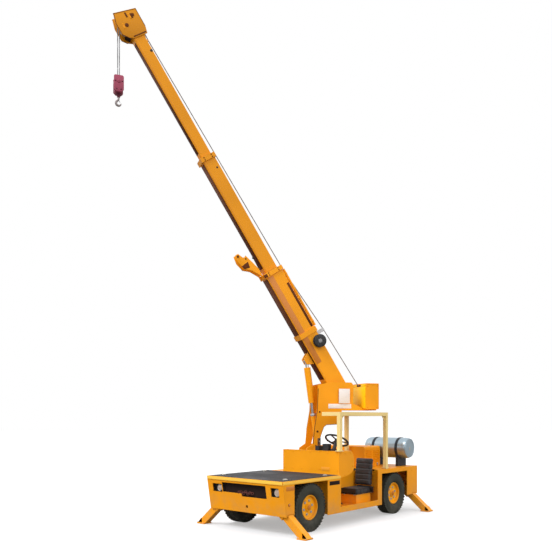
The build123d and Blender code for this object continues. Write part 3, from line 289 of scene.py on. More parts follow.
class Graph:
    """The nodes of one material."""

    def __init__(self, name):
        self.material = bpy.data.materials.new(name)
        self.material.use_nodes = True
        self.tree = self.material.node_tree
        self.tree.nodes.clear()
        self.place = self.node("ShaderNodeTexCoord", output="Object")

    def node(self, kind, settings=None, sockets=None, output=0):
        """A node with its settings made first, then the values or links of its sockets."""
        made = self.tree.nodes.new(kind)
        for key, value in (settings or {}).items():
            if key == "stops":
                ramp = made.color_ramp.elements
                while len(ramp) < len(value):
                    ramp.new(0.5)
                for stop, (at, colour) in zip(ramp, value):
                    stop.position, stop.color = at, (*colour, 1)
            else:
                setattr(made, key, value)
        for key, value in (sockets or {}).items():
            socket = made.inputs[key]
            if value is None:
                continue
            if isinstance(value, Value):
                self.tree.links.new(value.socket, socket)
            elif isinstance(value, tuple) and len(value) == 3 and socket.type == "RGBA":
                socket.default_value = (*value, 1)
            else:
                socket.default_value = value
        return Value(self, made.outputs[output])

    def noise(self, scale, detail=3.0, roughness=0.5, place=None):
        return self.node("ShaderNodeTexNoise", {}, {
            "Vector": place or self.place, "Scale": scale, "Detail": detail, "Roughness": roughness})

    def cells(self, scale):
        return self.node("ShaderNodeTexVoronoi", {"feature": "F1"}, {"Vector": self.place, "Scale": scale})

    def stretched(self, factors):
        """Object coordinates scaled by a factor on each axis."""
        return self.node("ShaderNodeMapping", {}, {"Vector": self.place, "Scale": factors})

    def height(self):
        """Height above the ground."""
        return self.node("ShaderNodeSeparateXYZ", {}, {0: self.place}, output=2)

    def step(self, value, low, high):
        """0 below low, 1 above high, smooth between them."""
        return self.node("ShaderNodeMapRange", {"interpolation_type": "SMOOTHSTEP"},
                         {"Value": value, "From Min": low, "From Max": high})

    def mix(self, amount, first, second):
        """The first colour where amount is 0, the second where it is 1."""
        return self.node("ShaderNodeMix", {"data_type": "RGBA"}, {0: amount, 6: first, 7: second},
                         output=2)

    def rounded(self, radius):
        """The normal as if sharp edges had that radius."""
        return self.node("ShaderNodeBevel", {"samples": 4}, {"Radius": radius})

    def edges(self, radius):
        """1 on sharp edges, 0 on flat faces."""
        flat = self.node("ShaderNodeNewGeometry", output="Normal")
        turned = self.node("ShaderNodeVectorMath", {"operation": "DOT_PRODUCT"},
                           {0: self.rounded(radius), 1: flat}, output=1)
        return self.step(turned, 0.985, 0.80)

    def bump(self, height, distance, strength=1.0, normal=None):
        return self.node("ShaderNodeBump", {}, {
            "Height": height, "Distance": distance, "Strength": strength, "Normal": normal})

    def surface(self, colour, roughness, normal, **constants):
        sockets = {"Base Color": colour, "Roughness": roughness, "Normal": normal}
        sockets.update({key.replace("_", " "): value for key, value in constants.items()})
        return self.finished(self.node("ShaderNodeBsdfPrincipled", {}, sockets))

    def finished(self, shader):
        """The material, with a shader as its surface."""
        out = self.tree.nodes.new("ShaderNodeOutputMaterial")
        self.tree.links.new(shader.socket, out.inputs["Surface"])
        return self.material


def shade(colour, factor):
    return tuple(min(1.0, channel * factor) for channel in colour)


# ---- finishes
def paint(name, colour, primer=(0.16, 0.10, 0.07), worn=0.5, dusty=0.35, roughness=0.36,
          radius=0.004):
    """Sprayed enamel on steel: faint orange peel, road dust low down, chips along the edges, and every edge painted a
    little lighter as a highlight.
    """
    g = Graph(name)
    cloud, speck, grain = g.noise(1.7, 3), g.noise(38, 4, 0.6), g.noise(420, 2)
    tone = g.mix(g.step(cloud, 0.3, 0.7), shade(colour, 0.93), shade(colour, 1.04))
    low = g.step(g.height(), 0.62, 0.12) * g.step(g.noise(6, 4, 0.65), 0.35, 0.75) * dusty
    dust = g.mix(low, tone, (0.36, 0.27, 0.17))
    edge = g.edges(radius * 1.6)
    chips = edge * g.step(speck, 0.62, 0.68) * worn
    # painted highlight: every edge a little lighter than the flat faces
    faded = g.mix(edge * 0.22, dust, shade(colour, 1.22))
    colour_out = g.mix(chips, faded, primer)
    rough = roughness + 0.10 * g.step(speck, 0.35, 0.75) + 0.28 * low
    normal = g.bump(grain, 0.0004, 0.25, g.rounded(radius))
    return g.surface(colour_out, rough, normal, Specular_IOR_Level=0.14, Coat_Weight=0.03,
                     Coat_Roughness=0.15)


def rubber(name, colour, grain_scale=900.0, dusty=0.5):
    """Moulded tyre rubber with a dusty bloom near the ground."""
    g = Graph(name)
    low = g.step(g.height(), 0.34, 0.0) * g.step(g.noise(9, 4, 0.7), 0.3, 0.8) * dusty
    tone = g.mix(g.step(g.noise(5, 3), 0.3, 0.7), shade(colour, 0.8), shade(colour, 1.2))
    normal = g.bump(g.noise(grain_scale, 2), 0.0006, 0.35)
    return g.surface(g.mix(low, tone, (0.17, 0.15, 0.12)), 0.72 + 0.15 * low, normal,
                     Specular_IOR_Level=0.35)


def deck_covering(name):
    """Non-slip deck sheet: coarse grit, rubbed pale in patches where loads and boots go."""
    g = Graph(name)
    grit, patch = g.noise(260, 3, 0.7), g.noise(2.3, 5, 0.6)
    trodden = g.step(patch, 0.35, 0.68)
    base = g.mix(trodden, (0.033, 0.034, 0.038), (0.070, 0.070, 0.074))
    rubbed = g.mix(g.step(g.noise(14, 6, 0.72), 0.60, 0.72) * 0.5, base, (0.14, 0.125, 0.105))
    flecks = g.mix(g.step(grit, 0.60, 0.72) * 0.6, rubbed, (0.12, 0.11, 0.095))
    return g.surface(flecks, 0.80 - 0.12 * trodden, g.bump(grit, 0.0015, 0.6), Specular_IOR_Level=0.25)


def vinyl(name, colour):
    """Seat vinyl with a fine leather grain."""
    g = Graph(name)
    grain = g.cells(420)
    worn = g.step(g.noise(7, 4), 0.45, 0.75)
    tone = g.mix(worn, colour, shade(colour, 2.1))
    return g.surface(tone, 0.46 + 0.14 * worn, g.bump(grain, 0.0008, 0.35), Sheen_Weight=0.1)


def moulded(name, colour):
    """Moulded plastic with a fine spark-eroded grain."""
    g = Graph(name)
    tone = g.mix(g.step(g.noise(12, 3), 0.3, 0.7), shade(colour, 0.85), shade(colour, 1.3))
    return g.surface(tone, 0.5 + 0.1 * g.noise(30, 3),
                     g.bump(g.noise(700, 2), 0.0004, 0.3, g.rounded(0.002)))


def brushed(name, colour, roughness=0.38, metallic=0.75, along=(4, 260, 260), stain=0.3):
    """Bare or thinly painted metal with drawn streaks and light staining."""
    g = Graph(name)
    streak = g.noise(1.0, 4, 0.6, g.stretched(along))
    patch = g.step(g.noise(8, 5, 0.65), 0.5, 0.8) * stain
    tone = g.mix(streak, shade(colour, 0.86), shade(colour, 1.12))
    tone = g.mix(patch, tone, (0.22, 0.17, 0.13))
    normal = g.bump(streak, 0.0003, 0.3, g.rounded(0.002))
    return g.surface(tone, roughness + 0.12 * streak + 0.2 * patch, normal, Metallic=metallic)


def wire(name, colour):
    """Greased steel wire."""
    g = Graph(name)
    grease = g.step(g.noise(25, 4, 0.6), 0.4, 0.7)
    return g.surface(g.mix(grease, colour, shade(colour, 0.45)), 0.38 + 0.2 * grease,
                     g.bump(g.noise(1800, 1), 0.0002, 0.3), Metallic=0.8)


def casting(name, colour):
    """Painted rough casting with oil stains."""
    g = Graph(name)
    oil = g.step(g.noise(9, 5, 0.7), 0.48, 0.7)
    return g.surface(g.mix(oil * 0.7, colour, shade(colour, 0.35)), 0.62 - 0.25 * oil,
                     g.bump(g.noise(240, 4, 0.6), 0.002, 0.5, g.rounded(0.004)))


def lens(name, colour):
    """A moulded lamp lens with fine prisms."""
    g = Graph(name)
    prisms = g.node("ShaderNodeTexWave", {"bands_direction": "Y"}, {"Vector": g.place, "Scale": 180})
    tone = g.mix(prisms * 0.35, colour, shade(colour, 0.7))
    return g.surface(tone, 0.12 + 0.1 * g.noise(60, 2), g.bump(prisms, 0.0008, 0.5), Coat_Weight=0.6)


def plate_blank(name, colour):
    """A blank riveted plate, slightly weathered."""
    g = Graph(name)
    stain = g.step(g.noise(18, 5, 0.65), 0.52, 0.8)
    return g.surface(g.mix(stain * 0.35, colour, shade(colour, 0.6)), 0.42 + 0.2 * stain,
                     g.bump(g.noise(300, 2), 0.0003, 0.3, g.rounded(0.002)))


def make_finishes(look):
    body, winch, guard, block, tank = (tuple(getattr(look, name)) for name in CraneColours.__annotations__)
    FINISH.update(
        paint_orange=paint("crane_orange_enamel", body),
        # lighter enamel for the winch front: painted light
        winch_orange=paint("winch_orange_enamel", winch, worn=0.25),
        paint_cream=paint("guard_cream_enamel", guard, worn=0.4),
        paint_maroon=paint("block_maroon_enamel", block, worn=0.6, roughness=0.4),
        paint_dark=paint("chassis_black_enamel", (0.028, 0.026, 0.026), (0.20, 0.10, 0.06), 0.5, 0.8, 0.55),
        # near-black painted shade for the nose slot's liner, the side slots and the boom head's inner plates
        cavity=paint("inner_brown_primer", (0.016, 0.008, 0.007), worn=0.2, dusty=0.1, roughness=0.7),
        rusty=casting("rusty_chain", (0.13, 0.030, 0.022)),
        control_brown=moulded("control_brown_moulding", (0.075, 0.012, 0.010)),
        deck_mat=deck_covering("deck_grit_sheet"),
        tyre=rubber("tyre_rubber", (0.034, 0.036, 0.026)),
        hose=rubber("hose_rubber", (0.018, 0.018, 0.019), 500.0, 0.2),
        seat=vinyl("seat_vinyl", (0.014, 0.014, 0.016)),
        black_plastic=moulded("black_moulding", (0.013, 0.013, 0.015)),
        grey_plastic=moulded("grey_moulding", (0.20, 0.20, 0.21)),
        tank=brushed("gas_tank_enamel", tank, 0.27, 0.80, (200, 5, 200), 0.16),
        steel=brushed("machined_steel", (0.50, 0.50, 0.51)),
        zinc=brushed("zinc_fastener", (0.55, 0.54, 0.50), 0.36, 0.85, (60, 60, 60), 0.35),
        chrome=brushed("cylinder_chrome", (0.72, 0.72, 0.74), 0.12, 1.0, (90, 90, 3), 0.05),
        wire_rope=wire("wire_rope_steel", (0.33, 0.33, 0.34)),
        engine=casting("engine_casting", (0.060, 0.062, 0.065)),
        lamp=lens("lamp_clear_lens", (0.52, 0.40, 0.32)),
        red_lens=lens("lamp_red_lens", (0.55, 0.015, 0.012)),
        amber_lens=lens("lamp_amber_lens", (0.85, 0.24, 0.02)),
        blank=plate_blank("blank_white_plate", (0.80, 0.74, 0.72)),
        blank_orange=plate_blank("blank_orange_plate", shade(body, 0.92)),
        # dark orange-brown: the boom's weld seams, and painted shade on the hub caps, under the deck's lip and low on
        # the boom base's side
        rub_strip=plate_blank("rub_strip_primer", (0.60, 0.19, 0.010)),
        # much darker copy of the block's maroon: painted shade on its inner plates and swivel nut, also used on its
        # bolt heads
        block_shade=paint("block_maroon_shade", shade(block, 0.35), worn=0.3, roughness=0.4),
        # darker copy of the body enamel: painted shade on the boom's middle and tip sections
        boom_orange=paint("boom_orange_enamel", shade(body, 0.84)),
        # much darker copy of the body enamel: painted shade on the head's cheeks
        head_orange=paint("head_orange_enamel", shade(body, 0.68), worn=0.7),
        # brighter copy of the body enamel: painted light that lifts the rims' shaded recess
        rim_orange=paint("rim_orange_enamel", (1.0, 0.43, 0.008), worn=0.3),
        # lighter yellow: painted highlight on the deck's edge
        edge_yellow=paint("edge_yellow_enamel", (1.0, 0.56, 0.075), worn=0.8, radius=0.002),
        strap_steel=paint("strap_blue_black", (0.030, 0.036, 0.046), worn=0.4, dusty=0.1),
        # dark brown enamel on pins and pad bolts, and painted shade: lines along the turret's and the head's edges,
        # strips under the boom and lines under the conduit
        sealer=paint("brown_sealer", (0.115, 0.028, 0.004), worn=0.2, dusty=0.1, roughness=0.6),
        hook_iron=brushed("hook_iron", (0.30, 0.26, 0.26), 0.5, 0.55, (40, 40, 40), 0.5),
        dial=plate_blank("dial_face", (0.62, 0.62, 0.60)),
    )


def dress(node, finish):
    """Gives a CAD node a finish."""
    slots = NODES[node].material_slots
    if not slots:
        NODES[node].data.materials.append(FINISH[finish])
    for slot in slots:
        slot.material = FINISH[finish]


# ---- mesh making
def linked(name, data):
    """A new object in the scene."""
    made = bpy.data.objects.new(name, data)
    bpy.context.scene.collection.objects.link(made)
    return made


def evaluated(thing):
    """The plain mesh that an object's modifiers make."""
    graph = bpy.context.evaluated_depsgraph_get()
    return bpy.data.meshes.new_from_object(thing.evaluated_get(graph))


def shown(name, mesh, body, slot, replaces=()):
    """Links a finished mesh as a piece that rides on a body."""
    piece = linked(name, mesh)
    mesh.shade_smooth()
    mesh.set_sharp_from_angle(angle=SMOOTH_ANGLE)
    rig.slot(piece, slot)
    if replaces:
        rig.replaces(piece, *replaces)
    if body:
        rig.ride(piece, body)
    return piece


class Maker:
    """Gathers closed shells for one piece, laid out in a frame of their own."""

    def __init__(self, place=MACHINE):
        self.bm, self.place = bmesh.new(), place

    def _vertex(self, at):
        return self.bm.verts.new(at)

    def _bevel(self, verts, width):
        if width > 0:
            edges = list({edge for vertex in verts for edge in vertex.link_edges})
            bmesh.ops.bevel(self.bm, geom=edges, offset=width, segments=2, profile=0.5,
                            affect="EDGES", clamp_overlap=True)

    def box(self, low, high, round_by=0.0, turn=None):
        """A box between two opposite corners, turned by a matrix about its middle."""
        low, high = corners_of((low, high))
        size = Matrix.Diagonal((*(high - low), 1))
        place = Matrix.Translation((low + high) / 2) @ (turn or MACHINE) @ size
        made = bmesh.ops.create_cube(self.bm, size=1, matrix=place)
        self._bevel(made["verts"], round_by)
        return self

    def slab(self, outline, near, far, round_by=0.0, across=1):
        """A plate with an outline on the other two axes, thick from near to far on one."""
        ends = []
        for depth in sorted((near, far)):
            points = [list(point) for point in outline]
            for point in points:
                point.insert(across, depth)
            ends.append([self._vertex(point) for point in points])
        first, second = ends
        self.bm.faces.new(first)
        self.bm.faces.new(list(reversed(second)))
        for k in range(len(outline)):
            self.bm.faces.new((first[k - 1], second[k - 1], second[k], first[k]))
        self._bevel(first + second, round_by)
        return self

    def lathe(self, profile, origin, axis, steps=32, closed=True):
        """Turns a profile of (radius, distance along the axis) that runs back to its start."""
        turn = UP.rotation_difference(Vector(axis)).to_matrix().to_4x4()
        place = Matrix.Translation(origin) @ turn
        angles = [2 * pi * k / steps for k in range(steps)]
        rings = []
        for radius, height in profile:
            points = [(radius * cos(a), radius * sin(a), height) for a in angles]
            rings.append([self._vertex(place @ Vector(point))
                          for point in (points if radius > 1e-6 else points[:1])])
        pairs = list(zip(rings, rings[1:])) + ([(rings[-1], rings[0])] if closed else [])
        for first, second in pairs:
            for k in range(steps):
                corners = []
                for ring, index in ((first, k), (first, k + 1), (second, k + 1), (second, k)):
                    vertex = ring[index % len(ring)]
                    if vertex not in corners:
                        corners.append(vertex)
                if len(corners) > 2:
                    self.bm.faces.new(corners)
        return self

    def spun(self, profile, origin, axis, steps=32):
        """Turns a profile whose two ends lie on the axis."""
        return self.lathe(profile, origin, axis, steps, closed=False)

    def disc(self, origin, axis, radius, height, round_by=0.0, steps=32):
        """A round plate or pin that stands on origin along the axis, its rims rounded."""
        r = min(round_by, radius / 2, height / 2) or 1e-4
        half = [(0, 0), (radius - r, 0), (radius - 0.3 * r, 0.3 * r), (radius, r)]
        profile = half + [(out, height - up) for out, up in reversed(half)]
        return self.spun(profile, origin, axis, steps)

    def ring(self, origin, axis, radius, section, steps=32, sides=10):
        """A torus about an axis."""
        angles = [2 * pi * k / sides for k in range(sides)]
        profile = [(radius + section * cos(a), section * sin(a)) for a in angles]
        return self.lathe(profile, origin, axis, steps)

    def tube(self, points, radius, sides=10):
        """A round bar through points; radius may be a list, one for each point."""
        points = [Vector(point) for point in points]
        radii = radius if isinstance(radius, (list, tuple)) else [radius] * len(points)
        steps = [(b - a).normalized() for a, b in zip(points, points[1:])]
        tangents = [steps[0]] + [(a + b).normalized() for a, b in zip(steps, steps[1:])] + [steps[-1]]
        side = tangents[0].orthogonal().normalized()
        angles = [2 * pi * j / sides for j in range(sides)]
        rings = []
        for k, (point, tangent) in enumerate(zip(points, tangents)):
            if k:
                side = tangents[k - 1].rotation_difference(tangent) @ side
            other = tangent.cross(side)
            rings.append([self._vertex(point + radii[k] * (cos(a) * side + sin(a) * other))
                          for a in angles])
        for first, second in zip(rings, rings[1:]):
            for j in range(sides):
                self.bm.faces.new((first[j - 1], first[j], second[j], second[j - 1]))
        self.bm.faces.new(list(reversed(rings[0])))
        self.bm.faces.new(rings[-1])
        return self

    def mesh(self, name, finish):
        self.bm.transform(self.place)
        bmesh.ops.recalc_face_normals(self.bm, faces=self.bm.faces)
        made = bpy.data.meshes.new(name)
        self.bm.to_mesh(made)
        self.bm.free()
        made.materials.append(FINISH[finish])
        return made

    def piece(self, name, body, slot, finish=None, replaces=()):
        return shown(name, self.mesh(name, finish or slot), body, slot, replaces)


def makers(count, place=MACHINE):
    return [Maker(place) for _ in range(count)]


def arc(centre, radius, first, last, count, axes=(0, 2)):
    """Points on an arc in the plane of two axes, by degrees from the first axis."""
    points = []
    for k in range(count):
        angle = radians(first + (last - first) * k / (count - 1))
        point = Vector(centre)
        point[axes[0]] += radius * cos(angle)
        point[axes[1]] += radius * sin(angle)
        points.append(point)
    return points


# ---- geometry node trees
class Tree:
    """A geometry node tree with named inputs."""

    KINDS = {int: "NodeSocketInt", float: "NodeSocketFloat"}

    def __init__(self, name, sizes):
        self.group = bpy.data.node_groups.new(name, "GeometryNodeTree")
        face = self.group.interface
        face.new_socket("Geometry", in_out="INPUT", socket_type="NodeSocketGeometry")
        for label, default in sizes.items():
            made = face.new_socket(label, in_out="INPUT", socket_type=self.KINDS[type(default)])
            made.default_value = default
        face.new_socket("Material", in_out="INPUT", socket_type="NodeSocketMaterial")
        face.new_socket("Geometry", in_out="OUTPUT", socket_type="NodeSocketGeometry")
        self.source = self.group.nodes.new("NodeGroupInput")

    def node(self, kind, settings=None, sockets=None, output=0):
        """A node's output, its settings made first, then the values or links of its sockets."""
        made = self.group.nodes.new(kind)
        for key, value in (settings or {}).items():
            setattr(made, key, value)
        for key, value in (sockets or {}).items():
            if isinstance(value, bpy.types.NodeSocket):
                self.group.links.new(value, made.inputs[key])
            else:
                made.inputs[key].default_value = value
        return made.outputs[output]

    def size(self, label):
        return self.source.outputs[label]

    def maths(self, operation, first, second):
        return self.node("ShaderNodeMath", {"operation": operation}, {0: first, 1: second})

    def vector(self, x=0.0, y=0.0, z=0.0):
        return self.node("ShaderNodeCombineXYZ", {}, {0: x, 1: y, 2: z})

    def moved(self, geometry, **how):
        """Geometry with a Translation or a Rotation."""
        return self.node("GeometryNodeTransform", {}, {"Geometry": geometry, **how})

    def facing(self, axis, towards, **settings):
        """The turn that brings an axis round to a direction."""
        return self.node("FunctionNodeAlignRotationToVector", {"axis": axis, **settings},
                         {"Vector": towards})

    def axis_attribute(self):
        return self.node("GeometryNodeInputNamedAttribute", {"data_type": "FLOAT_VECTOR"},
                         {"Name": "axis"})

    def on_points(self, points, item, turn):
        return self.node("GeometryNodeInstanceOnPoints", {}, {
            "Points": points, "Instance": item, "Rotation": turn})

    def joined(self, *parts):
        made = self.node("GeometryNodeJoinGeometry")
        for part in parts:
            self.group.links.new(part, made.node.inputs[0])
        return made

    def finish(self, geometry):
        real = self.node("GeometryNodeRealizeInstances", {}, {0: geometry})
        coloured = self.node("GeometryNodeSetMaterial", {}, {0: real, "Material": self.size("Material")})
        out = self.group.nodes.new("NodeGroupOutput")
        self.group.links.new(coloured, out.inputs[0])
        return self


def run_tree(tree, mesh, material, **sizes):
    """The plain mesh that a tree makes from a mesh."""
    carrier = linked("carrier", mesh)
    modifier = carrier.modifiers.new("make", "NODES")
    modifier.node_group = tree.group
    values = {key.replace("_", " ").title(): value for key, value in sizes.items()}
    values["Material"] = material
    for item in tree.group.interface.items_tree:
        if item.in_out == "INPUT" and item.name in values:
            modifier[item.identifier] = values.pop(item.name)
    if values:
        raise ValueError(f"no such input: {sorted(values)}")
    made = evaluated(carrier)
    carrier.modifiers.clear()
    bpy.data.objects.remove(carrier)
    if not made.polygons:
        raise RuntimeError(f"{tree.group.name} made no faces")
    return made


def bolt_tree():
    """A washer and a hexagon head on each point, along its axis attribute."""
    t = Tree("bolt_heads", {"Head Radius": 0.010, "Head Height": 0.007, "Washer Radius": 0.013,
                            "Washer Height": 0.002})
    solids = []
    for corners, part in ((6, "Head"), (14, "Washer")):
        height = t.size(f"{part} Height")
        solid = t.node("GeometryNodeMeshCylinder", {}, {
            "Vertices": corners, "Radius": t.size(f"{part} Radius"), "Depth": height})
        lift = t.maths("MULTIPLY", height, 0.5)
        if part == "Head":
            lift = t.maths("ADD", lift, t.size("Washer Height"))
        solids.append(t.moved(solid, Translation=t.vector(z=lift)))
    turn = t.facing("Z", t.axis_attribute())
    return t.finish(t.on_points(t.size("Geometry"), t.joined(*solids), turn))


def rope_tree():
    """Strands laid round a path of edges."""
    t = Tree("rope_strands", {"Strands": 6, "Rope Radius": 0.005, "Lay": 0.07, "Step": 0.009})
    path = t.node("GeometryNodeMeshToCurve", {}, {"Mesh": t.size("Geometry")})
    even = t.node("GeometryNodeResampleCurve", {"mode": "LENGTH"}, {"Curve": path, "Length": t.size("Step")})
    wires = t.node("GeometryNodeDuplicateElements", {"domain": "SPLINE"},
                   {"Geometry": even, "Amount": t.size("Strands")})
    along = t.node("GeometryNodeSplineParameter", output="Length")
    turns = t.maths("DIVIDE", along, t.size("Lay"))
    share = t.maths("DIVIDE", wires.node.outputs["Duplicate Index"], t.size("Strands"))
    spun = t.node("ShaderNodeVectorRotate", {"rotation_type": "AXIS_ANGLE"}, {
        "Vector": t.node("GeometryNodeInputNormal"), "Axis": t.node("GeometryNodeInputTangent"),
        "Angle": t.maths("MULTIPLY", t.maths("ADD", turns, share), 2 * pi)})
    offset = t.node("ShaderNodeVectorMath", {"operation": "SCALE"},
                    {0: spun, "Scale": t.maths("MULTIPLY", t.size("Rope Radius"), 0.62)})
    moved = t.node("GeometryNodeSetPosition", {}, {"Geometry": wires, "Offset": offset})
    profile = t.node("GeometryNodeCurvePrimitiveCircle", {}, {
        "Resolution": 6, "Radius": t.maths("MULTIPLY", t.size("Rope Radius"), 0.38)})
    return t.finish(t.node("GeometryNodeCurveToMesh", {}, {
        "Curve": moved, "Profile Curve": profile, "Fill Caps": True}))


def tread_tree():
    """Two staggered rows of slanted lugs round a tyre whose axle lies along Z."""
    t = Tree("tread_lugs", {"Lugs": 28, "Tread Radius": 0.288, "Lug Height": 0.014, "Lug Width": 0.064,
                            "Lug Length": 0.036, "Row Offset": 0.044, "Slant": 0.42})
    measure = t.vector(t.size("Lug Height"), t.size("Lug Length"), t.size("Lug Width"))
    rows = []
    for side in SIDES:
        circle = t.node("GeometryNodeMeshCircle", {}, {
            "Vertices": t.size("Lugs"), "Radius": t.size("Tread Radius")})
        half_pitch = t.maths("DIVIDE", pi if side > 0 else 0.0, t.size("Lugs"))
        lug = t.moved(t.node("GeometryNodeMeshCube", {}, {"Size": measure}),
                      Rotation=t.vector(x=t.maths("MULTIPLY", t.size("Slant"), side)),
                      Translation=t.vector(z=t.maths("MULTIPLY", t.size("Row Offset"), side)))
        outward = t.facing("X", t.node("GeometryNodeInputPosition"), pivot_axis="Z")
        rows.append(t.on_points(t.moved(circle, Rotation=t.vector(z=half_pitch)), lug, outward))
    return t.finish(t.joined(*rows))


def slat_tree():
    """Boxes of one size on each point, turned so that X follows its axis attribute."""
    t = Tree("slats", {"Length": 0.20, "Width": 0.02, "Thickness": 0.004, "Tilt": 0.0})
    measure = t.vector(t.size("Length"), t.size("Width"), t.size("Thickness"))
    slat = t.moved(t.node("GeometryNodeMeshCube", {}, {"Size": measure}),
                   Rotation=t.vector(x=t.size("Tilt")))
    turn = t.facing("X", t.axis_attribute(), pivot_axis="Z")
    return t.finish(t.on_points(t.size("Geometry"), slat, turn))


def points_mesh(places, place=MACHINE):
    """A mesh of loose points, each with an axis."""
    mesh = bpy.data.meshes.new("points")
    mesh.from_pydata([place @ Vector(at) for at, _ in places], [], [])
    attribute = mesh.attributes.new("axis", "FLOAT_VECTOR", "POINT")
    turn = place.to_3x3()
    axes = [(turn @ Vector(axis)).normalized() for _, axis in places]
    attribute.data.foreach_set("vector", [part for axis in axes for part in axis])
    return mesh


def bolts(name, body, places, share=1.0, place=MACHINE, finish="zinc", size=None):
    """Hexagon heads with washers at (point, axis) places, a share of the common bolt's size."""
    size = size or share * bpy.context.scene.crane_fittings.bolt
    mesh = run_tree(TREES["bolt"], points_mesh(places, place), FINISH[finish], head_radius=size,
                    head_height=0.65 * size, washer_radius=1.35 * size, washer_height=0.2 * size)
    return shown(name, mesh, body, "steel")


def slats(name, body, slot, finish, places, place=MACHINE, **sizes):
    mesh = run_tree(TREES["slat"], points_mesh(places, place), FINISH[finish], **sizes)
    return shown(name, mesh, body, slot)


def rope_mesh(points, place=MACHINE, **sizes):
    mesh = bpy.data.meshes.new("path")
    edges = [(k, k + 1) for k in range(len(points) - 1)]
    mesh.from_pydata([place @ Vector(point) for point in points], edges, [])
    return run_tree(TREES["rope"], mesh, FINISH["wire_rope"], **sizes)


def round_pattern(centre, axis, radius, count):
    """Places for bolts round a centre, all along one axis."""
    axis = Vector(axis).normalized()
    side = axis.orthogonal().normalized()
    other = axis.cross(side)
    places = []
    for k in range(count):
        angle = 2 * pi * k / count
        around = cos(angle) * side + sin(angle) * other
        places.append((Vector(centre) + radius * around, axis))
    return places


def grid(axis, xs, ys, zs):
    """Places at every mix of three rows of coordinates, all along one axis."""
    return [((x, y, z), axis) for x in xs for y in ys for z in zs]


def rim_points(low, high, count, margin):
    """Even steps from low to high, a margin in from both."""
    return [low + margin + (high - low - 2 * margin) * k / (count - 1) for k in range(count)]


# ---- settings
def colour(name, description, default):
    return bpy.props.FloatVectorProperty(name=name, description=description, default=default, subtype="COLOR",
                                         size=3, min=0, max=1)


def length(name, description, default):
    return bpy.props.FloatProperty(name=name, description=description, default=default, min=0,
                                   subtype="DISTANCE", unit="LENGTH")


def number(name, description, default):
    return bpy.props.IntProperty(name=name, description=description, default=default, min=1)


class CraneColours(PropertyGroup):
    """Main paint colours."""
    body: colour("Body", "Enamel of the body, turret and boom", (0.90, 0.340, 0.006))
    # winch front colour: a lighter, yellower orange that paints in the light falling on that face
    winch: colour("Winch Housing", "Enamel of the winch front", (1.0, 0.60, 0.008))
    guard: colour("Guard", "Enamel of the overhead guard", (0.89, 0.67, 0.27))
    block: colour("Hook Block", "Enamel of the hook block", (0.36, 0.07, 0.12))
    tank: colour("Gas Tank", "Paint of the gas tank", (0.40, 0.50, 0.57))


class CraneWheels(PropertyGroup):
    """Tyre and wheel sizes."""
    lugs: number("Lugs", "Tread lugs in each row", 40)
    lug_height: length("Lug Height", "How far the lugs stand on the tread", 0.008)
    lug_length: length("Lug Length", "A lug's length round the tyre", 0.031)
    nuts: number("Wheel Nuts", "Nuts on each wheel", 6)
    nut_circle: length("Nut Circle", "Radius of the circle of wheel nuts", 0.084)
    nut_size: length("Nut Size", "Radius of a wheel nut", 0.0125)


class CraneRigging(PropertyGroup):
    """Wire rope sizes."""
    rope_radius: length("Rope Radius", "Radius of the hoist rope", 0.0065)
    lay: length("Lay", "Length in which a strand turns once", 0.07)
    strands: number("Strands", "Strands in the rope", 6)


class CraneFittings(PropertyGroup):
    """Bolts and small fittings."""
    bolt: length("Bolt", "Radius of a common bolt head", 0.0085)
    ring_bolts: number("Ring Bolts", "Bolts round the slew ring", 24)
    ring_bolt: length("Ring Bolt", "Radius of a slew ring bolt head", 0.0105)


class CraneStage(PropertyGroup):
    """Camera and light."""
    lens: bpy.props.FloatProperty(name="Lens", description="Focal length", default=41.1, min=1, unit="CAMERA")
    sky: bpy.props.FloatProperty(name="Sky", description="Strength of the even light from all round",
                                 default=1.16, min=0)
    key: bpy.props.FloatProperty(name="Key", description="Strength of the key lamp", default=1.75, min=0)
    fill: bpy.props.FloatProperty(name="Fill", description="Strength of the fill lamp", default=0.40, min=0)


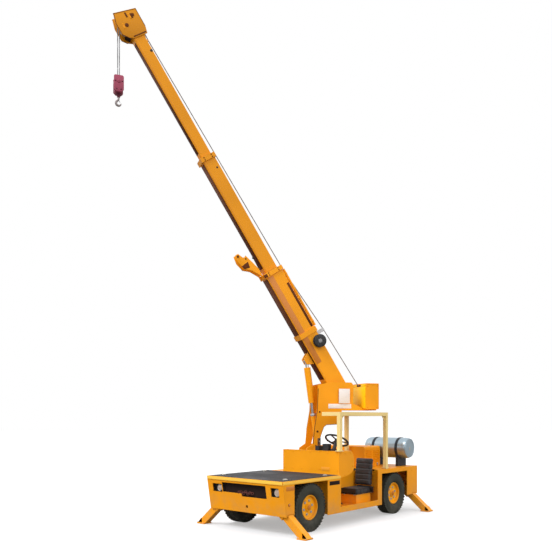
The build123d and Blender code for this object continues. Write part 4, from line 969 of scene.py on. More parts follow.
# ---- stage and finishes
class CRANE_OT_stage(Operator):
    """Camera, soft daylight and a white floor that keeps the crane's shadow"""
    bl_idname = "crane.stage"
    bl_label = "Stage"

    def execute(self, context):
        scene, look = context.scene, context.scene.crane_stage
        scene.view_settings.view_transform = "Standard"
        camera = linked("camera", bpy.data.cameras.new("camera"))
        camera.location = (6.975, 5.317, 1.380)
        camera.rotation_euler = (radians(90), 0, radians(131.26))
        camera.data.sensor_width = 36
        camera.data.lens = look.lens
        camera.data.shift_y = 0.257
        scene.camera = camera
        for name, strength, aim, softness in (("key", look.key, (1.0, -0.20, 1.20), 22),
                                              ("fill", look.fill, (0.25, 1.0, 0.50), 50)):
            lamp = linked(name, bpy.data.lights.new(name, "SUN"))
            lamp.data.energy, lamp.data.angle = strength, radians(softness)
            lamp.rotation_euler = Vector(aim).to_track_quat("Z", "Y").to_euler()
        self.sky(scene, look.sky)
        self.floor()
        return {"FINISHED"}

    @staticmethod
    def sky(scene, strength):
        world = bpy.data.worlds.new("studio")
        scene.world = world
        world.use_nodes = True
        tree = world.node_tree
        tree.nodes.clear()
        path = tree.nodes.new("ShaderNodeLightPath")
        seen = path.outputs["Is Camera Ray"]
        for ray in ("Is Glossy Ray", "Is Transmission Ray"):
            add = tree.nodes.new("ShaderNodeMath")
            add.operation, add.use_clamp = "ADD", True
            tree.links.new(seen, add.inputs[0])
            tree.links.new(path.outputs[ray], add.inputs[1])
            seen = add.outputs[0]
        mix = tree.nodes.new("ShaderNodeMixShader")
        for socket, level in ((1, strength), (2, 1.0)):
            background = tree.nodes.new("ShaderNodeBackground")
            background.inputs["Color"].default_value = (1, 1, 1, 1)
            background.inputs["Strength"].default_value = level
            tree.links.new(background.outputs[0], mix.inputs[socket])
        tree.links.new(seen, mix.inputs[0])
        out = tree.nodes.new("ShaderNodeOutputWorld")
        tree.links.new(mix.outputs[0], out.inputs["Surface"])

    @staticmethod
    def floor():
        g = Graph("studio_floor")
        plain = g.node("ShaderNodeBsdfDiffuse", {}, {"Color": (0.50, 0.51, 0.53)})
        lift = g.node("ShaderNodeEmission", {}, {"Color": (1.0, 0.985, 0.965), "Strength": 0.40})
        both = g.node("ShaderNodeAddShader", {}, {0: plain, 1: lift})
        bounce = g.node("ShaderNodeBsdfDiffuse", {}, {"Color": (0.20, 0.19, 0.18)})
        camera_ray = g.node("ShaderNodeLightPath", output="Is Camera Ray")
        FINISH["floor"] = g.finished(g.node("ShaderNodeMixShader", {}, {0: camera_ray, 1: bounce, 2: both}))
        disc = Maker().spun([(0, 0), (60, 0)], (0, 0, -0.0005), UP, 64)
        floor = shown("floor", disc.mesh("floor", "floor"), None, "paint_dark")
        if floor.data.polygons[0].normal.z < 0:
            floor.data.flip_normals()
        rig.stage(floor)


class CRANE_OT_finishes(Operator):
    """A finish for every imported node"""
    bl_idname = "crane.finishes"
    bl_label = "Finishes"

    def execute(self, context):
        make_finishes(context.scene.crane_colours)
        for part in frame["record"]["subparts"]:
            dress(part["node"], part["material_slot"])
        # the boom's middle and tip take a darker copy of the enamel as painted shade, the rims a brighter copy as
        # painted light
        for node, finish in (("boom_mid", "boom_orange"), ("boom_tip", "boom_orange"),
                             ("conduit", "paint_orange"), ("tank_saddle", "strap_steel"),
                             *((f"rim_{name}", "rim_orange") for name, _ in CORNERS)):
            dress(node, finish)
        TREES.update(bolt=bolt_tree(), rope=rope_tree(), tread=tread_tree(), slat=slat_tree())
        return {"FINISHED"}


# ---- wheels
# A tyre's side wall, as (share of the way out from the bead, share of the half width).
TYRE_WALL = ((0.02, 0.66), (0.08, 0.78), (0.18, 0.90), (0.20, 0.925), (0.235, 0.925), (0.25, 0.94),
             (0.36, 0.985), (0.48, 1.0), (0.60, 0.99), (0.66, 0.975), (0.67, 0.99), (0.72, 0.985),
             (0.73, 0.955), (0.84, 0.92), (0.93, 0.87), (0.985, 0.82))


class CRANE_OT_tyres(Operator):
    """Tyres with ribbed side walls and two staggered rows of lugs"""
    bl_idname = "crane.tyres"
    bl_label = "Tyres"

    def execute(self, context):
        look = context.scene.crane_wheels
        for name, _ in CORNERS:
            low, high = span(f"tyre_{name}")
            middle, half = (low + high) / 2, (high.y - low.y) / 2
            bead = span(f"rim_{name}")[1].z - middle.z
            tread = (high.z - low.z) / 2 - look.lug_height
            one = [(bead + share * (tread - bead), width * half) for share, width in TYRE_WALL]
            one += [(tread, 0.74 * half), (tread + 0.002, 0.40 * half), (tread + 0.002, 0.06 * half),
                    (tread - 0.005, 0.04 * half)]
            carcass = Maker().lathe(one + [(r, -w) for r, w in reversed(one)], (0, 0, 0), UP, 72)
            carcass.bm.from_mesh(run_tree(
                TREES["tread"], points_mesh([]), FINISH["tyre"], lugs=look.lugs,
                tread_radius=tread + look.lug_height / 2 - 0.004, lug_height=look.lug_height + 0.006,
                lug_length=look.lug_length, lug_width=0.80 * half, row_offset=0.50 * half))
            carcass.place = Matrix.Translation(middle) @ Matrix.Rotation(radians(-90), 4, "X")
            carcass.piece(f"tyre_carcass_{name}", f"wheel_{name}", "tyre", replaces=(f"tyre_{name}",))
        return {"FINISHED"}


class CRANE_OT_wheel_hardware(Operator):
    """Wheel nuts, hub caps, flange rings and valve stems"""
    bl_idname = "crane.wheel_hardware"
    bl_label = "Wheel Hardware"

    def execute(self, context):
        look = context.scene.crane_wheels
        for name, side in CORNERS:
            body, out = f"wheel_{name}", LEFT * side
            low, high = span(f"rim_{name}")
            middle, half, radius = (low + high) / 2, (high.y - low.y) / 2, (high.z - low.z) / 2
            face = middle + out * (half - 0.034)
            bolts(f"wheel_nuts_{name}", body, round_pattern(face, out, look.nut_circle, look.nuts),
                  finish="steel", size=look.nut_size)
            trim, cap = makers(2)
            trim.ring(middle + out * (half - 0.004), out, radius - 0.005, 0.0055, 56)
            trim.ring(face, out, radius - 0.016, 0.005, 56)
            trim.disc(face + out * 0.011, out, 0.045, 0.007, 0.003, 40)
            trim.piece(f"wheel_trim_{name}", body, "paint_orange")
            # hub cap in dark orange-brown: painted shade round the hub
            cap.disc(face + out * 0.017, out, 0.030, 0.012, 0.006, 32)
            cap.disc(face + out * 0.028, out, 0.012, 0.005, 0.002, 16)
            stem = face + Vector((0.072, 0, 0.082))
            bend = stem + out * 0.026 + Vector((0.008, 0, 0.010))
            cap.tube([stem, stem + out * 0.018, bend], 0.0042, 10)
            cap.piece(f"hub_cap_{name}", body, "paint_orange", "rub_strip")
        return {"FINISHED"}


# ---- nose, lamps and deck
class CRANE_OT_lamps(Operator):
    """Head lamps in dark recesses, tail lamps and side markers"""
    bl_idname = "crane.lamps"
    bl_label = "Lamps"

    def execute(self, context):
        cans, bowls, rings, clear, red, amber = makers(6)
        for low, high in islands("lamps"):
            middle = (low + high) / 2
            if middle.x > 0:
                self.head(cans, bowls, rings, clear, low, high)
                continue
            radius, base = (high.z - low.z) / 2, Vector((high.x, middle.y, middle.z))
            cans.disc(base, BACK, radius, 0.012, 0.003, 40)
            rings.ring(base + 0.012 * BACK, BACK, radius - 0.004, 0.003, 40)
            red.spun([(0, 0.021), (0.018, 0.020), (0.032, 0.016), (0.037, 0.012), (0.037, 0.008), (0, 0.008)],
                     base, BACK, 40)
        low, high = span("side_panels")
        for side in SIDES:
            base, out = Vector((high.x - 0.105, side * high.y, low.z + 0.200)), LEFT * side
            cans.disc(base - out * 0.002, out, 0.018, 0.004, 0.001, 24)
            amber.disc(base + out * 0.002, out, 0.013, 0.008, 0.003, 24)
        cans.piece("lamp_cans", "root", "paint_dark", replaces=("lamps",))
        bowls.piece("lamp_reflectors", "root", "chrome")
        rings.piece("lamp_rings", "root", "steel", "zinc")
        clear.piece("head_lamp_lenses", "root", "lamp")
        red.piece("tail_lamp_lenses", "root", "lamp", "red_lens")
        amber.piece("side_marker_lenses", "root", "lamp", "amber_lens")
        return {"FINISHED"}

    @staticmethod
    def head(cans, bowls, rings, clear, low, high):
        """One head lamp, set back in an open-fronted can."""
        size, wall, mouth = high - low, 0.004, high.x - 0.026
        cans.box(low, (low.x + wall, high.y, high.z))
        for y in (low.y, high.y - wall):
            cans.box((low.x, y, low.z), (mouth, y + wall, high.z))
        for z in (low.z, high.z - wall):
            cans.box((low.x, low.y, z), (mouth, high.y, z + wall))
        radius, depth = min(size.z, size.y) / 2 - 0.020, size.x
        centre = Vector((high.x - 0.020, (low.y + high.y) / 2 + 0.16 * size.y, (low.z + high.z) / 2))
        bowls.lathe([(radius, 0), (0.72 * radius, -0.45 * depth), (0.3 * radius, -0.68 * depth),
                     (0, -0.72 * depth), (0, -0.76 * depth), (0.34 * radius, -0.73 * depth),
                     (0.78 * radius, -0.48 * depth), (radius + 0.002, 0)], centre, AHEAD, 40)
        rings.ring(centre, AHEAD, radius, 0.0035, 40)
        clear.spun([(0, 0.006), (0.5 * radius, 0.0052), (0.85 * radius, 0.003), (radius - 0.002, 0.0),
                    (radius - 0.002, -0.003), (0, -0.001)], centre, AHEAD, 40)


class CRANE_OT_nose(Operator):
    """A near-black liner of painted shade and the chain behind the nose slot, a brown plate of painted shade under the
    deck's lip, and flat dark plates of painted shade at the side slots
    """
    bl_idname = "crane.nose"
    bl_label = "Nose"

    def execute(self, context):
        panel, side = span("front_panel")[1].x, span("side_panels")[1].y
        housing = span("outrigger_housings")[1].x
        openings = frame["record"]["physics"]["openings"]
        (x0, y0, z0), (x1, y1, z1) = next(item["box_m"] for item in openings if item["name"] == "front_slot")
        back = max(x0, housing + 0.001) if housing < x1 else x0
        tray, chain, plate, slots = makers(4)
        # liner boxes in near black: painted shade inside the nose slot
        tray.box((back, y0 - 0.012, z0 - 0.045), (back + 0.004, y1 + 0.012, z1 + 0.010))
        tray.box((back, y0 - 0.012, z1 + 0.006), (panel - 0.035, y1 + 0.012, z1 + 0.010))
        for y in (y0 - 0.014, y1 + 0.010):
            tray.box((back, y, z0 - 0.045), (panel - 0.050, y + 0.004, z1 + 0.010))
        tray.piece("nose_tray", "root", "paint_dark", "cavity")
        for k in range(13):
            at = (back + 0.030, -0.10 + 0.0187 * k, z0 + 0.002 + 0.012 * sin(1.3 * k))
            chain.ring(at, (0.25 * (-1) ** k, 0.3, 1 if k % 2 else 0.15), 0.014, 0.0042, 16, 8)
        chain.piece("stowed_chain", "root", "steel", "rusty")
        # brown band of painted shade under the deck's lip
        plate.box((1.31, side - 0.001, 0.535), (1.46, side + 0.0012, 0.585), 0.0006)
        plate.piece("side_scuff_plate", "root", "paint_orange", "rub_strip")
        # flat dark plates: painted shade where the side slots are
        for hand in SIDES:
            slots.box((0.405, hand * (side - 0.001), 0.535), (0.625, hand * (side + 0.001), 0.585), 0.0005)
        slots.piece("side_vent_slots", "root", "paint_dark", "cavity")
        return {"FINISHED"}


class CRANE_OT_deck(Operator):
    """Deck screws, lashing rings and a painted highlight along the edge round the deck"""
    bl_idname = "crane.deck"
    bl_label = "Deck"

    def execute(self, context):
        low, high = span("deck_mat")
        top = high.z
        rows = grid(UP, (low.x + 0.03, high.x - 0.03), rim_points(low.y, high.y, 8, 0.05), (top,))
        rows += grid(UP, rim_points(low.x, high.x, 6, 0.20), (low.y + 0.03, high.y - 0.03), (top,))
        bolts("deck_screws", "root", rows, 0.55, finish="paint_dark")
        rings, trim = makers(2)
        for x in (low.x + 0.16, high.x - 0.16):
            for side in SIDES:
                y = side * (high.y - 0.10)
                rings.box((x - 0.030, y - 0.012, top - 0.001), (x + 0.030, y + 0.012, top + 0.004), 0.0015)
                rings.ring((x, y + side * 0.010, top + 0.007), (0, 0.12, 1), 0.024, 0.0042, 28, 8)
        rings.piece("lashing_rings", "root", "steel", "zinc")
        low, high = span("load_deck")
        edge, bottom, top, half = high.z - 0.003, low.z + 0.005, high.z - 0.007, high.y
        # lighter beads and bands along the deck's edge: painted highlight
        for side in SIDES:
            y = side * (half - 0.004)
            trim.tube([(low.x + 0.02, y, edge), (high.x - 0.012, y, edge)], 0.0045, 10)
            trim.box((low.x + 0.006, side * (half - 0.001), bottom), (high.x - 0.006, side * (half + 0.0015), top),
                     0.0008)
        trim.tube([(high.x - 0.004, 0.012 - half, edge), (high.x - 0.004, half - 0.012, edge)], 0.0045, 10)
        trim.box((high.x - 0.001, 0.006 - half, bottom), (high.x + 0.0015, half - 0.006, top), 0.0008)
        trim.piece("deck_edge_beads", "root", "paint_orange", "edge_yellow")
        return {"FINISHED"}


# ---- operator's place
PAD_VOXEL = 0.006
PAD_ROUND = 0.022
PAD_CAP = 0.007
PAD_PRESSURE = 4.0
PAD_FRAMES = 20
CUSHION = 0.090
BACK_REST = 0.080


def soft_block(size):
    """A rounded block of quads about the origin, ready to swell."""
    made = bmesh.new()
    bmesh.ops.create_cube(made, size=1, matrix=Matrix.Diagonal((*size, 1)))
    bmesh.ops.bevel(made, geom=made.edges[:], offset=PAD_ROUND, segments=3, profile=0.5, affect="EDGES",
                    clamp_overlap=True)
    mesh = bpy.data.meshes.new("pad")
    made.to_mesh(mesh)
    made.free()
    return mesh


def swollen(mesh):
    """The mesh blown up like stuffed cloth, no point moving further than the cap."""
    scene = bpy.context.scene
    pad = linked("swelling", mesh)
    remesh = pad.modifiers.new("even", "REMESH")
    remesh.mode, remesh.voxel_size = "VOXEL", PAD_VOXEL
    even = evaluated(pad)
    pad.modifiers.clear()
    pad.data = even
    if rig.quick():
        bpy.data.objects.remove(pad)
        return even
    rest = [vertex.co.copy() for vertex in even.vertices]
    cloth = pad.modifiers.new("cloth", "CLOTH")
    cloth.settings.use_pressure = True
    cloth.settings.uniform_pressure_force = PAD_PRESSURE
    cloth.settings.effector_weights.gravity = 0
    for step in range(1, PAD_FRAMES + 1):
        scene.frame_set(step)
    blown = evaluated(pad)
    bpy.data.objects.remove(pad)
    scene.frame_set(1)
    for vertex, start in zip(blown.vertices, rest):
        move = vertex.co - start
        if move.length > PAD_CAP:
            vertex.co = start + move.normalized() * PAD_CAP
    return blown


def channels(mesh, across, count):
    """Presses sewn channels into a pad's faces, even along one of its axes."""
    values = [vertex.co[across] for vertex in mesh.vertices]
    low, high = min(values), max(values)
    moves = []
    for vertex in mesh.vertices:
        share = (vertex.co[across] - low) / (high - low)
        near = min(abs(share - (k + 1) / (count + 1)) for k in range(count)) * (high - low)
        moves.append(vertex.normal * (0.0065 * exp(-(near / 0.006) ** 2)))
    for vertex, move in zip(mesh.vertices, moves):
        vertex.co -= move


class CRANE_OT_seat(Operator):
    """Stuffed vinyl cushions with sewn channels"""
    bl_idname = "crane.seat"
    bl_label = "Seat"

    def execute(self, context):
        low, high = span("seat")
        length, wide, tall = high.x - low.x, high.y - low.y, high.z - low.z - CUSHION
        y = (low.y + high.y) / 2
        sit = swollen(soft_block((length - 0.016, wide - 0.016, CUSHION - 0.016)))
        sit_at = Matrix.Translation(((low.x + high.x) / 2, y, low.z + CUSHION / 2))
        back = swollen(soft_block((BACK_REST - 0.016, wide - 0.016, tall - 0.020)))
        back_at = (Matrix.Translation((low.x + BACK_REST / 2 + 0.030, y, low.z + CUSHION + tall / 2))
                   @ Matrix.Rotation(-atan2(0.050, tall), 4, "Y"))
        for name, mesh, place, across, replaces in (("seat_cushion", sit, sit_at, 0, ("seat",)),
                                                    ("seat_back", back, back_at, 2, ())):
            channels(mesh, across, 4)
            mesh.transform(place)
            mesh.materials.clear()
            mesh.materials.append(FINISH["seat"])
            piece = shown(name, mesh, "root", "seat", replaces)
            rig.padded(piece, fill=0.7)
        return {"FINISHED"}


class CRANE_OT_seat_trim(Operator):
    """Seat piping, the slide rails and a lap belt"""
    bl_idname = "crane.seat_trim"
    bl_label = "Seat Trim"

    def execute(self, context):
        low, high = span("seat")
        piping, rails, belt = makers(3)
        corner, inset = 0.018, 0.030
        for z in (low.z + 0.016, low.z + CUSHION - 0.014):
            path = []
            for x, y, first in ((high.x - inset, high.y - inset, 0), (low.x + inset, high.y - inset, 90),
                                (low.x + inset, low.y + inset, 180), (high.x - inset, low.y + inset, 270)):
                path += arc((x, y, z), corner, first, first + 90, 6, (0, 1))
            piping.tube(path + path[:1], 0.004, 8)
        piping.piece("seat_piping", "root", "seat", "black_plastic")
        for y in (low.y + 0.06, high.y - 0.06):
            rails.box((low.x + 0.02, y - 0.014, low.z - 0.010), (high.x - 0.02, y + 0.014, low.z + 0.006), 0.003)
        rails.piece("seat_rails", "root", "steel", "zinc")
        top = low.z + CUSHION
        path = [Vector(point) for point in (
            (low.x + 0.07, high.y - 0.006, low.z + 0.004), (low.x + 0.085, high.y + 0.006, low.z + 0.06),
            (low.x + 0.115, high.y - 0.002, top + 0.006), (low.x + 0.150, high.y - 0.060, top + 0.010),
            (low.x + 0.175, high.y - 0.130, top + 0.009))]
        across = AHEAD * 0.022
        for first, second in zip(path, path[1:]):
            up = (second - first).cross(across).normalized() * 0.0012
            strip = [first - across, first + across, second + across, second - across]
            belt.bm.faces.new([belt.bm.verts.new(corner + up) for corner in strip])
            belt.bm.faces.new([belt.bm.verts.new(corner - up) for corner in reversed(strip)])
        belt.box(path[-1] - Vector((0.026, 0.050, 0.006)), path[-1] + Vector((0.026, 0.004, 0.006)), 0.003)
        belt.piece("lap_belt", "root", "black_plastic")
        return {"FINISHED"}


class CRANE_OT_controls(Operator):
    """Gauges, lever knobs, small lamps and pedals"""
    bl_idname = "crane.controls"
    bl_label = "Controls"

    def execute(self, context):
        knobs, dials, rings, pedals, lamps = makers(5)
        parts = sorted(islands("steering_column"), key=lambda box: box[0].y)
        for low, high in parts:
            if high.x - low.x < 0.03 and high.z - low.z > 0.08:
                foot = ((low.x + high.x) / 2, (low.y + high.y) / 2, high.z - 0.018)
                knobs.spun([(0, -0.012), (0.007, -0.012), (0.009, -0.004), (0.014, 0.006), (0.0155, 0.014),
                            (0.012, 0.024), (0.006, 0.028), (0, 0.029)], foot, UP, 20)
        pods = [(low, high) for low, high in parts if high.y - low.y < 0.12 and high.x - low.x > 0.05]
        low, high = max(pods, key=lambda box: box[1].y)
        for share, degrees in ((0.27, 40), (0.73, -35)):
            at = Vector((low.x, low.y + share * (high.y - low.y), low.z + 0.62 * (high.z - low.z)))
            rings.ring(at, BACK, 0.0165, 0.0025, 28, 8)
            dials.disc(at, BACK, 0.0155, 0.0015, 0.0005, 28)
            knobs.box(at + Vector((-0.0026, -0.0012, -0.002)), at + Vector((-0.0016, 0.0012, 0.013)),
                      turn=Matrix.Rotation(radians(degrees), 4, "X"))
            lamps.disc(at - UP * 0.030, BACK, 0.005, 0.004, 0.002, 14)
        half = Vector((0.035, 0.030, 0.004))
        for y in (0.37, 0.47):
            foot = Vector((span("cowl")[0].x + 0.115, y, 0.262))
            pedals.box(foot - half, foot + half, 0.003, Matrix.Rotation(radians(-38), 4, "Y"))
            pedals.tube([foot + Vector(step) for step in ((0.02, 0, -0.002), (0.075, 0, 0.02), (0.11, 0, 0.10))],
                        0.007, 8)
        knobs.piece("lever_knobs", "root", "black_plastic", "control_brown")
        dials.piece("gauge_faces", "root", "black_plastic", "dial")
        rings.piece("gauge_rings", "root", "chrome", "zinc")
        lamps.piece("warning_lamps", "root", "lamp", "red_lens")
        pedals.piece("pedals", "root", "paint_dark")
        return {"FINISHED"}


class CRANE_OT_cowl(Operator):
    """Cowl bolts, its folded edges and a blank plate"""
    bl_idname = "crane.cowl"
    bl_label = "Cowl"

    def execute(self, context):
        low, high = span("cowl")
        rows = grid(AHEAD, (high.x,), rim_points(low.y, high.y, 7, 0.03), (low.z + 0.10, high.z - 0.022))
        rows = [place for place in rows if place[0][2] > span("deck_mat")[1].z]
        rows += [((high.x - back, high.y, high.z - down), LEFT)
                 for back, down in ((0.03, 0.03), (0.14, 0.03), (0.25, 0.03), (0.30, 0.13), (0.30, 0.20),
                                    (0.22, 0.27), (0.12, 0.305), (0.03, 0.31))]
        bolts("cowl_bolts", "root", rows, 0.7, finish="paint_orange")
        beads, plate = makers(2)
        x, y, z = high - Vector((0.002, 0.003, 0.003))
        beads.tube([(x, low.y + 0.01, z), (x, high.y - 0.006, z)], 0.005, 10)
        beads.tube([(x, y, high.z - 0.006), (x, y, low.z + 0.02)], 0.005, 10)
        beads.piece("cowl_beads", "root", "paint_orange")
        plate.box((high.x, 0.34, low.z + 0.085), (high.x + 0.0025, 0.47, low.z + 0.135), 0.001)
        plate.piece("cowl_plate", "root", "paint_orange", "blank_orange")
        return {"FINISHED"}


class CRANE_OT_guard(Operator):
    """Guard gussets, foot plates and their bolts"""
    bl_idname = "crane.guard"
    bl_label = "Guard"

    def execute(self, context):
        low, high = span("guard")
        tube, lip, foot_t = 0.050, 0.018, 0.008
        y, under, rows = high.y - tube, high.z - tube, []
        feet, gussets = makers(2)
        for x, z, inner, way in ((high.x - tube, span("cowl")[1].z, high.x - tube, -0.07),
                                 (low.x, span("rear_deck")[1].z, low.x + tube, 0.07)):
            feet.box((x - lip, y - lip, z), (x + tube + lip, high.y + 0.006, z + foot_t), 0.002)
            rows += grid(UP, (x - 0.010, x + tube + 0.010), (y - 0.008, y + tube - 0.004), (z + foot_t,))
            gussets.slab([(inner, under), (inner + way, under), (inner, under - 0.07)],
                         high.y - 0.030, high.y - 0.024, 0.001)
        feet.piece("guard_feet", "root", "paint_cream")
        gussets.piece("guard_gussets", "root", "paint_cream")
        bolts("guard_bolts", "root", rows, 0.8)
        return {"FINISHED"}


# ---- tank, hood and tail
class CRANE_OT_gas_tank(Operator):
    """Tank seams, valve, collar and the latches of its straps"""
    bl_idname = "crane.gas_tank"
    bl_label = "Gas Tank"

    def execute(self, context):
        low, high = span("gas_tank")
        (x, _, z), radius = (low + high) / 2, (high.z - low.z) / 2
        seams, collar, valve, latches = makers(4)
        for y in (low.y + 0.075, high.y - 0.075):
            seams.ring((x, y, z), LEFT, radius - 0.001, 0.0032, 64, 8)
        collar.lathe([(0.112, -0.004), (0.112, 0.050), (0.1145, 0.052), (0.117, 0.050), (0.117, -0.004)],
                     (x, high.y - 0.050, z), LEFT, 56)
        at = Vector((x, high.y - 0.004, z))
        valve.spun([(0, -0.012), (0.024, -0.012), (0.024, 0.0), (0.017, 0.004), (0.017, 0.008), (0, 0.008)],
                   at, LEFT, 24)
        valve.tube([at + LEFT * 0.002, at + Vector((0, 0.002, -0.040))], 0.010, 14)
        valve.disc(at + Vector((0.040, -0.016, 0.036)), LEFT, 0.014, 0.016, 0.003, 20)
        for along in (0.17, 0.57):
            at = Vector((x - radius - 0.006, low.y + along, z))
            latches.box(at - Vector((0.010, 0.014, 0.016)), at + Vector((0.016, 0.014, 0.016)), 0.003)
            latches.tube([at + Vector((0.012, 0, 0.010)), at + Vector((0.022, 0, -0.030))], 0.0045, 8)
        seams.piece("gas_tank_seams", "root", "tank")
        collar.piece("gas_tank_collar", "root", "tank")
        valve.piece("gas_tank_valve", "root", "steel", "zinc")
        latches.piece("tank_strap_latches", "root", "steel", "zinc")
        return {"FINISHED"}


class CRANE_OT_hood(Operator):
    """Louvres with dark strips of painted shade behind them, latches and a handle on the hood"""
    bl_idname = "crane.hood"
    bl_label = "Hood"

    def execute(self, context):
        low, high = span("engine_hood")
        mid, top, thick, tilt = (low.x + high.x) / 2, high.z, 0.006, 1.15
        level = grid(AHEAD, (mid - 0.10, mid + 0.10), (high.y + 0.001,), rim_points(low.z, high.z, 7, 0.07))
        ends = grid(LEFT, (low.x - 0.001, high.x + 0.001), (low.y + 0.30, low.y + 0.52),
                    rim_points(low.z, high.z, 6, 0.08))
        slats("hood_side_louvres", "hood", "paint_orange", "paint_orange", level, length=0.15, width=0.020,
              thickness=thick, tilt=tilt)
        gaps, latches = makers(2)
        # dark strips behind the louvres: painted shade
        for at, _ in level:
            gaps.box(Vector(at) - Vector((0.072, 0.0015, 0.004)), Vector(at) + Vector((0.072, 0.0008, 0.002)))
        gaps.piece("hood_louvre_gaps", "hood", "paint_dark")
        slats("hood_end_louvres", "hood", "paint_orange", "paint_orange", ends, length=0.16, width=0.018,
              thickness=thick, tilt=tilt)
        for x in (low.x + 0.08, high.x - 0.08):
            latches.box((x - 0.014, high.y - 0.002, low.z + 0.012), (x + 0.014, high.y + 0.008, low.z + 0.050),
                        0.003)
            latches.tube([(x, high.y + 0.009, low.z + 0.045), (x, high.y + 0.012, low.z + 0.018)], 0.004, 8)
        half = [(0.06, -0.002), (0.06, 0.022), (0.045, 0.032)]
        handle = [(mid - x, high.y - 0.07, top + z) for x, z in half]
        handle += [(mid + x, high.y - 0.07, top + z) for x, z in reversed(half)]
        latches.tube(handle, 0.006, 10)
        latches.piece("hood_latches", "hood", "steel", "zinc")
        return {"FINISHED"}


class CRANE_OT_engine(Operator):
    """Rocker cover, cooling fins, pulleys, belt and air cleaner on the engine block"""
    bl_idname = "crane.engine"
    bl_label = "Engine"

    def execute(self, context):
        low, high = span("engine_block")
        mid = (low + high) / 2
        cast, cover, dark = makers(3)
        cast.box((low.x + 0.01, low.y + 0.02, high.z - 0.06), (high.x - 0.01, mid.y + 0.03, high.z - 0.001), 0.006)
        for x in rim_points(low.x, high.x, 12, 0.03):
            for y, out, top in ((low.y, -1, 0.05), (high.y, 1, 0.14)):
                cast.box((x - 0.004, y + 0.010 * out, low.z + 0.14), (x + 0.004, y - 0.004 * out, high.z - top),
                         0.001)
        cover.box((low.x + 0.04, low.y + 0.035, high.z - 0.004), (high.x - 0.04, mid.y, high.z + 0.016), 0.007)
        crank, fan = low.z + 0.12, high.z - 0.09
        for z, radius in ((crank, 0.060), (fan, 0.045)):
            dark.spun([(0, 0.020), (radius * 0.35, 0.020), (radius * 0.4, 0.012), (radius, 0.014),
                       (radius - 0.007, 0.009), (radius, 0.004), (0, 0.004)], (low.x, mid.y, z), BACK, 36)
        belt = low.x - 0.009
        for side in SIDES:
            dark.tube([(belt, mid.y + side * 0.055, crank), (belt, mid.y + side * 0.041, fan)], 0.0045, 8)
        dark.spun([(0, 0), (0.050, 0), (0.056, 0.006), (0.056, 0.12), (0.050, 0.128), (0, 0.128)],
                  (mid.x - 0.02, high.y - 0.065, high.z - 0.055), AHEAD, 32)
        cast.piece("engine_castings", "root", "engine")
        cover.piece("rocker_cover", "root", "paint_dark")
        dark.piece("engine_pulleys", "root", "black_plastic")
        return {"FINISHED"}


class CRANE_OT_tail(Operator):
    """The screen and fins behind the rear grille, panel bolts and fender bolts"""
    bl_idname = "crane.tail"
    bl_label = "Tail"

    def execute(self, context):
        low, high = span("rear_panel")
        half, bottom, top = 0.29, high.z - 0.24, high.z - 0.045
        screen = Maker().box((low.x + 0.022, -half, bottom), (low.x + 0.027, half, top), 0.001)
        screen.piece("radiator_screen", "root", "paint_dark")
        fins = grid(LEFT, (low.x + 0.019,), (0,), rim_points(bottom, top, 26, 0.006))
        slats("radiator_fins", "root", "paint_dark", "steel", fins, length=2 * half - 0.012, width=0.006,
              thickness=0.002, tilt=0.35)
        rows = grid(BACK, (low.x,), (-0.60, -0.36, 0.36, 0.60), (low.z + 0.03, high.z - 0.03))
        low, high = span("rear_fenders")
        for side in SIDES:
            rows += grid(LEFT * side, (low.x + 0.04, low.x + 0.16), (side * high.y,), (high.z - 0.025,))
        bolts("tail_bolts", "root", rows, 0.8, finish="paint_orange")
        return {"FINISHED"}


class CRANE_OT_outriggers(Operator):
    """Foot ribs and bolts on the four outriggers"""
    bl_idname = "crane.outriggers"
    bl_label = "Outriggers"

    def execute(self, context):
        foot_t = 0.015
        for corner, side in CORNERS:
            name = f"outrigger_{corner}"
            low, high = span(name)
            mid_x, outer = (low.x + high.x) / 2, high.y if side > 0 else low.y
            outline = [(outer - side * back, foot_t + up) for back, up in (
                (0.006, -0.001), (0.075, -0.001), (0.075, 0.060), (0.050, 0.052))]
            ribs = Maker()
            for x in (mid_x - 0.040, mid_x + 0.040):
                ribs.slab(outline, x - 0.005, x + 0.005, 0.001, across=0)
            ribs.piece(f"{name}_ribs", name, "paint_orange")
            rows = grid(UP, (mid_x - 0.057, mid_x + 0.057), (outer - side * 0.012, outer - side * 0.115), (foot_t,))
            bolts(f"{name}_bolts", name, rows, 0.8)
        return {"FINISHED"}


# ---- turret and winch
# The turret plate's edges and its pins, forward and up about the slew axis.
FRONT_EDGE = ((0.136, 1.030), (0.117, 1.230), (0.073, 1.480), (0.060, 1.780))
BACK_EDGE = ((0.056, 1.030), (0.032, 1.110), (-0.022, 1.256), (-0.060, 1.284), (-0.280, 1.296))
PIN_ENDS = ((0.072, 1.195, 0.014), (0.040, 1.462, 0.012), (0.095, 1.000, 0.012))
CHEEK_Y = 0.143


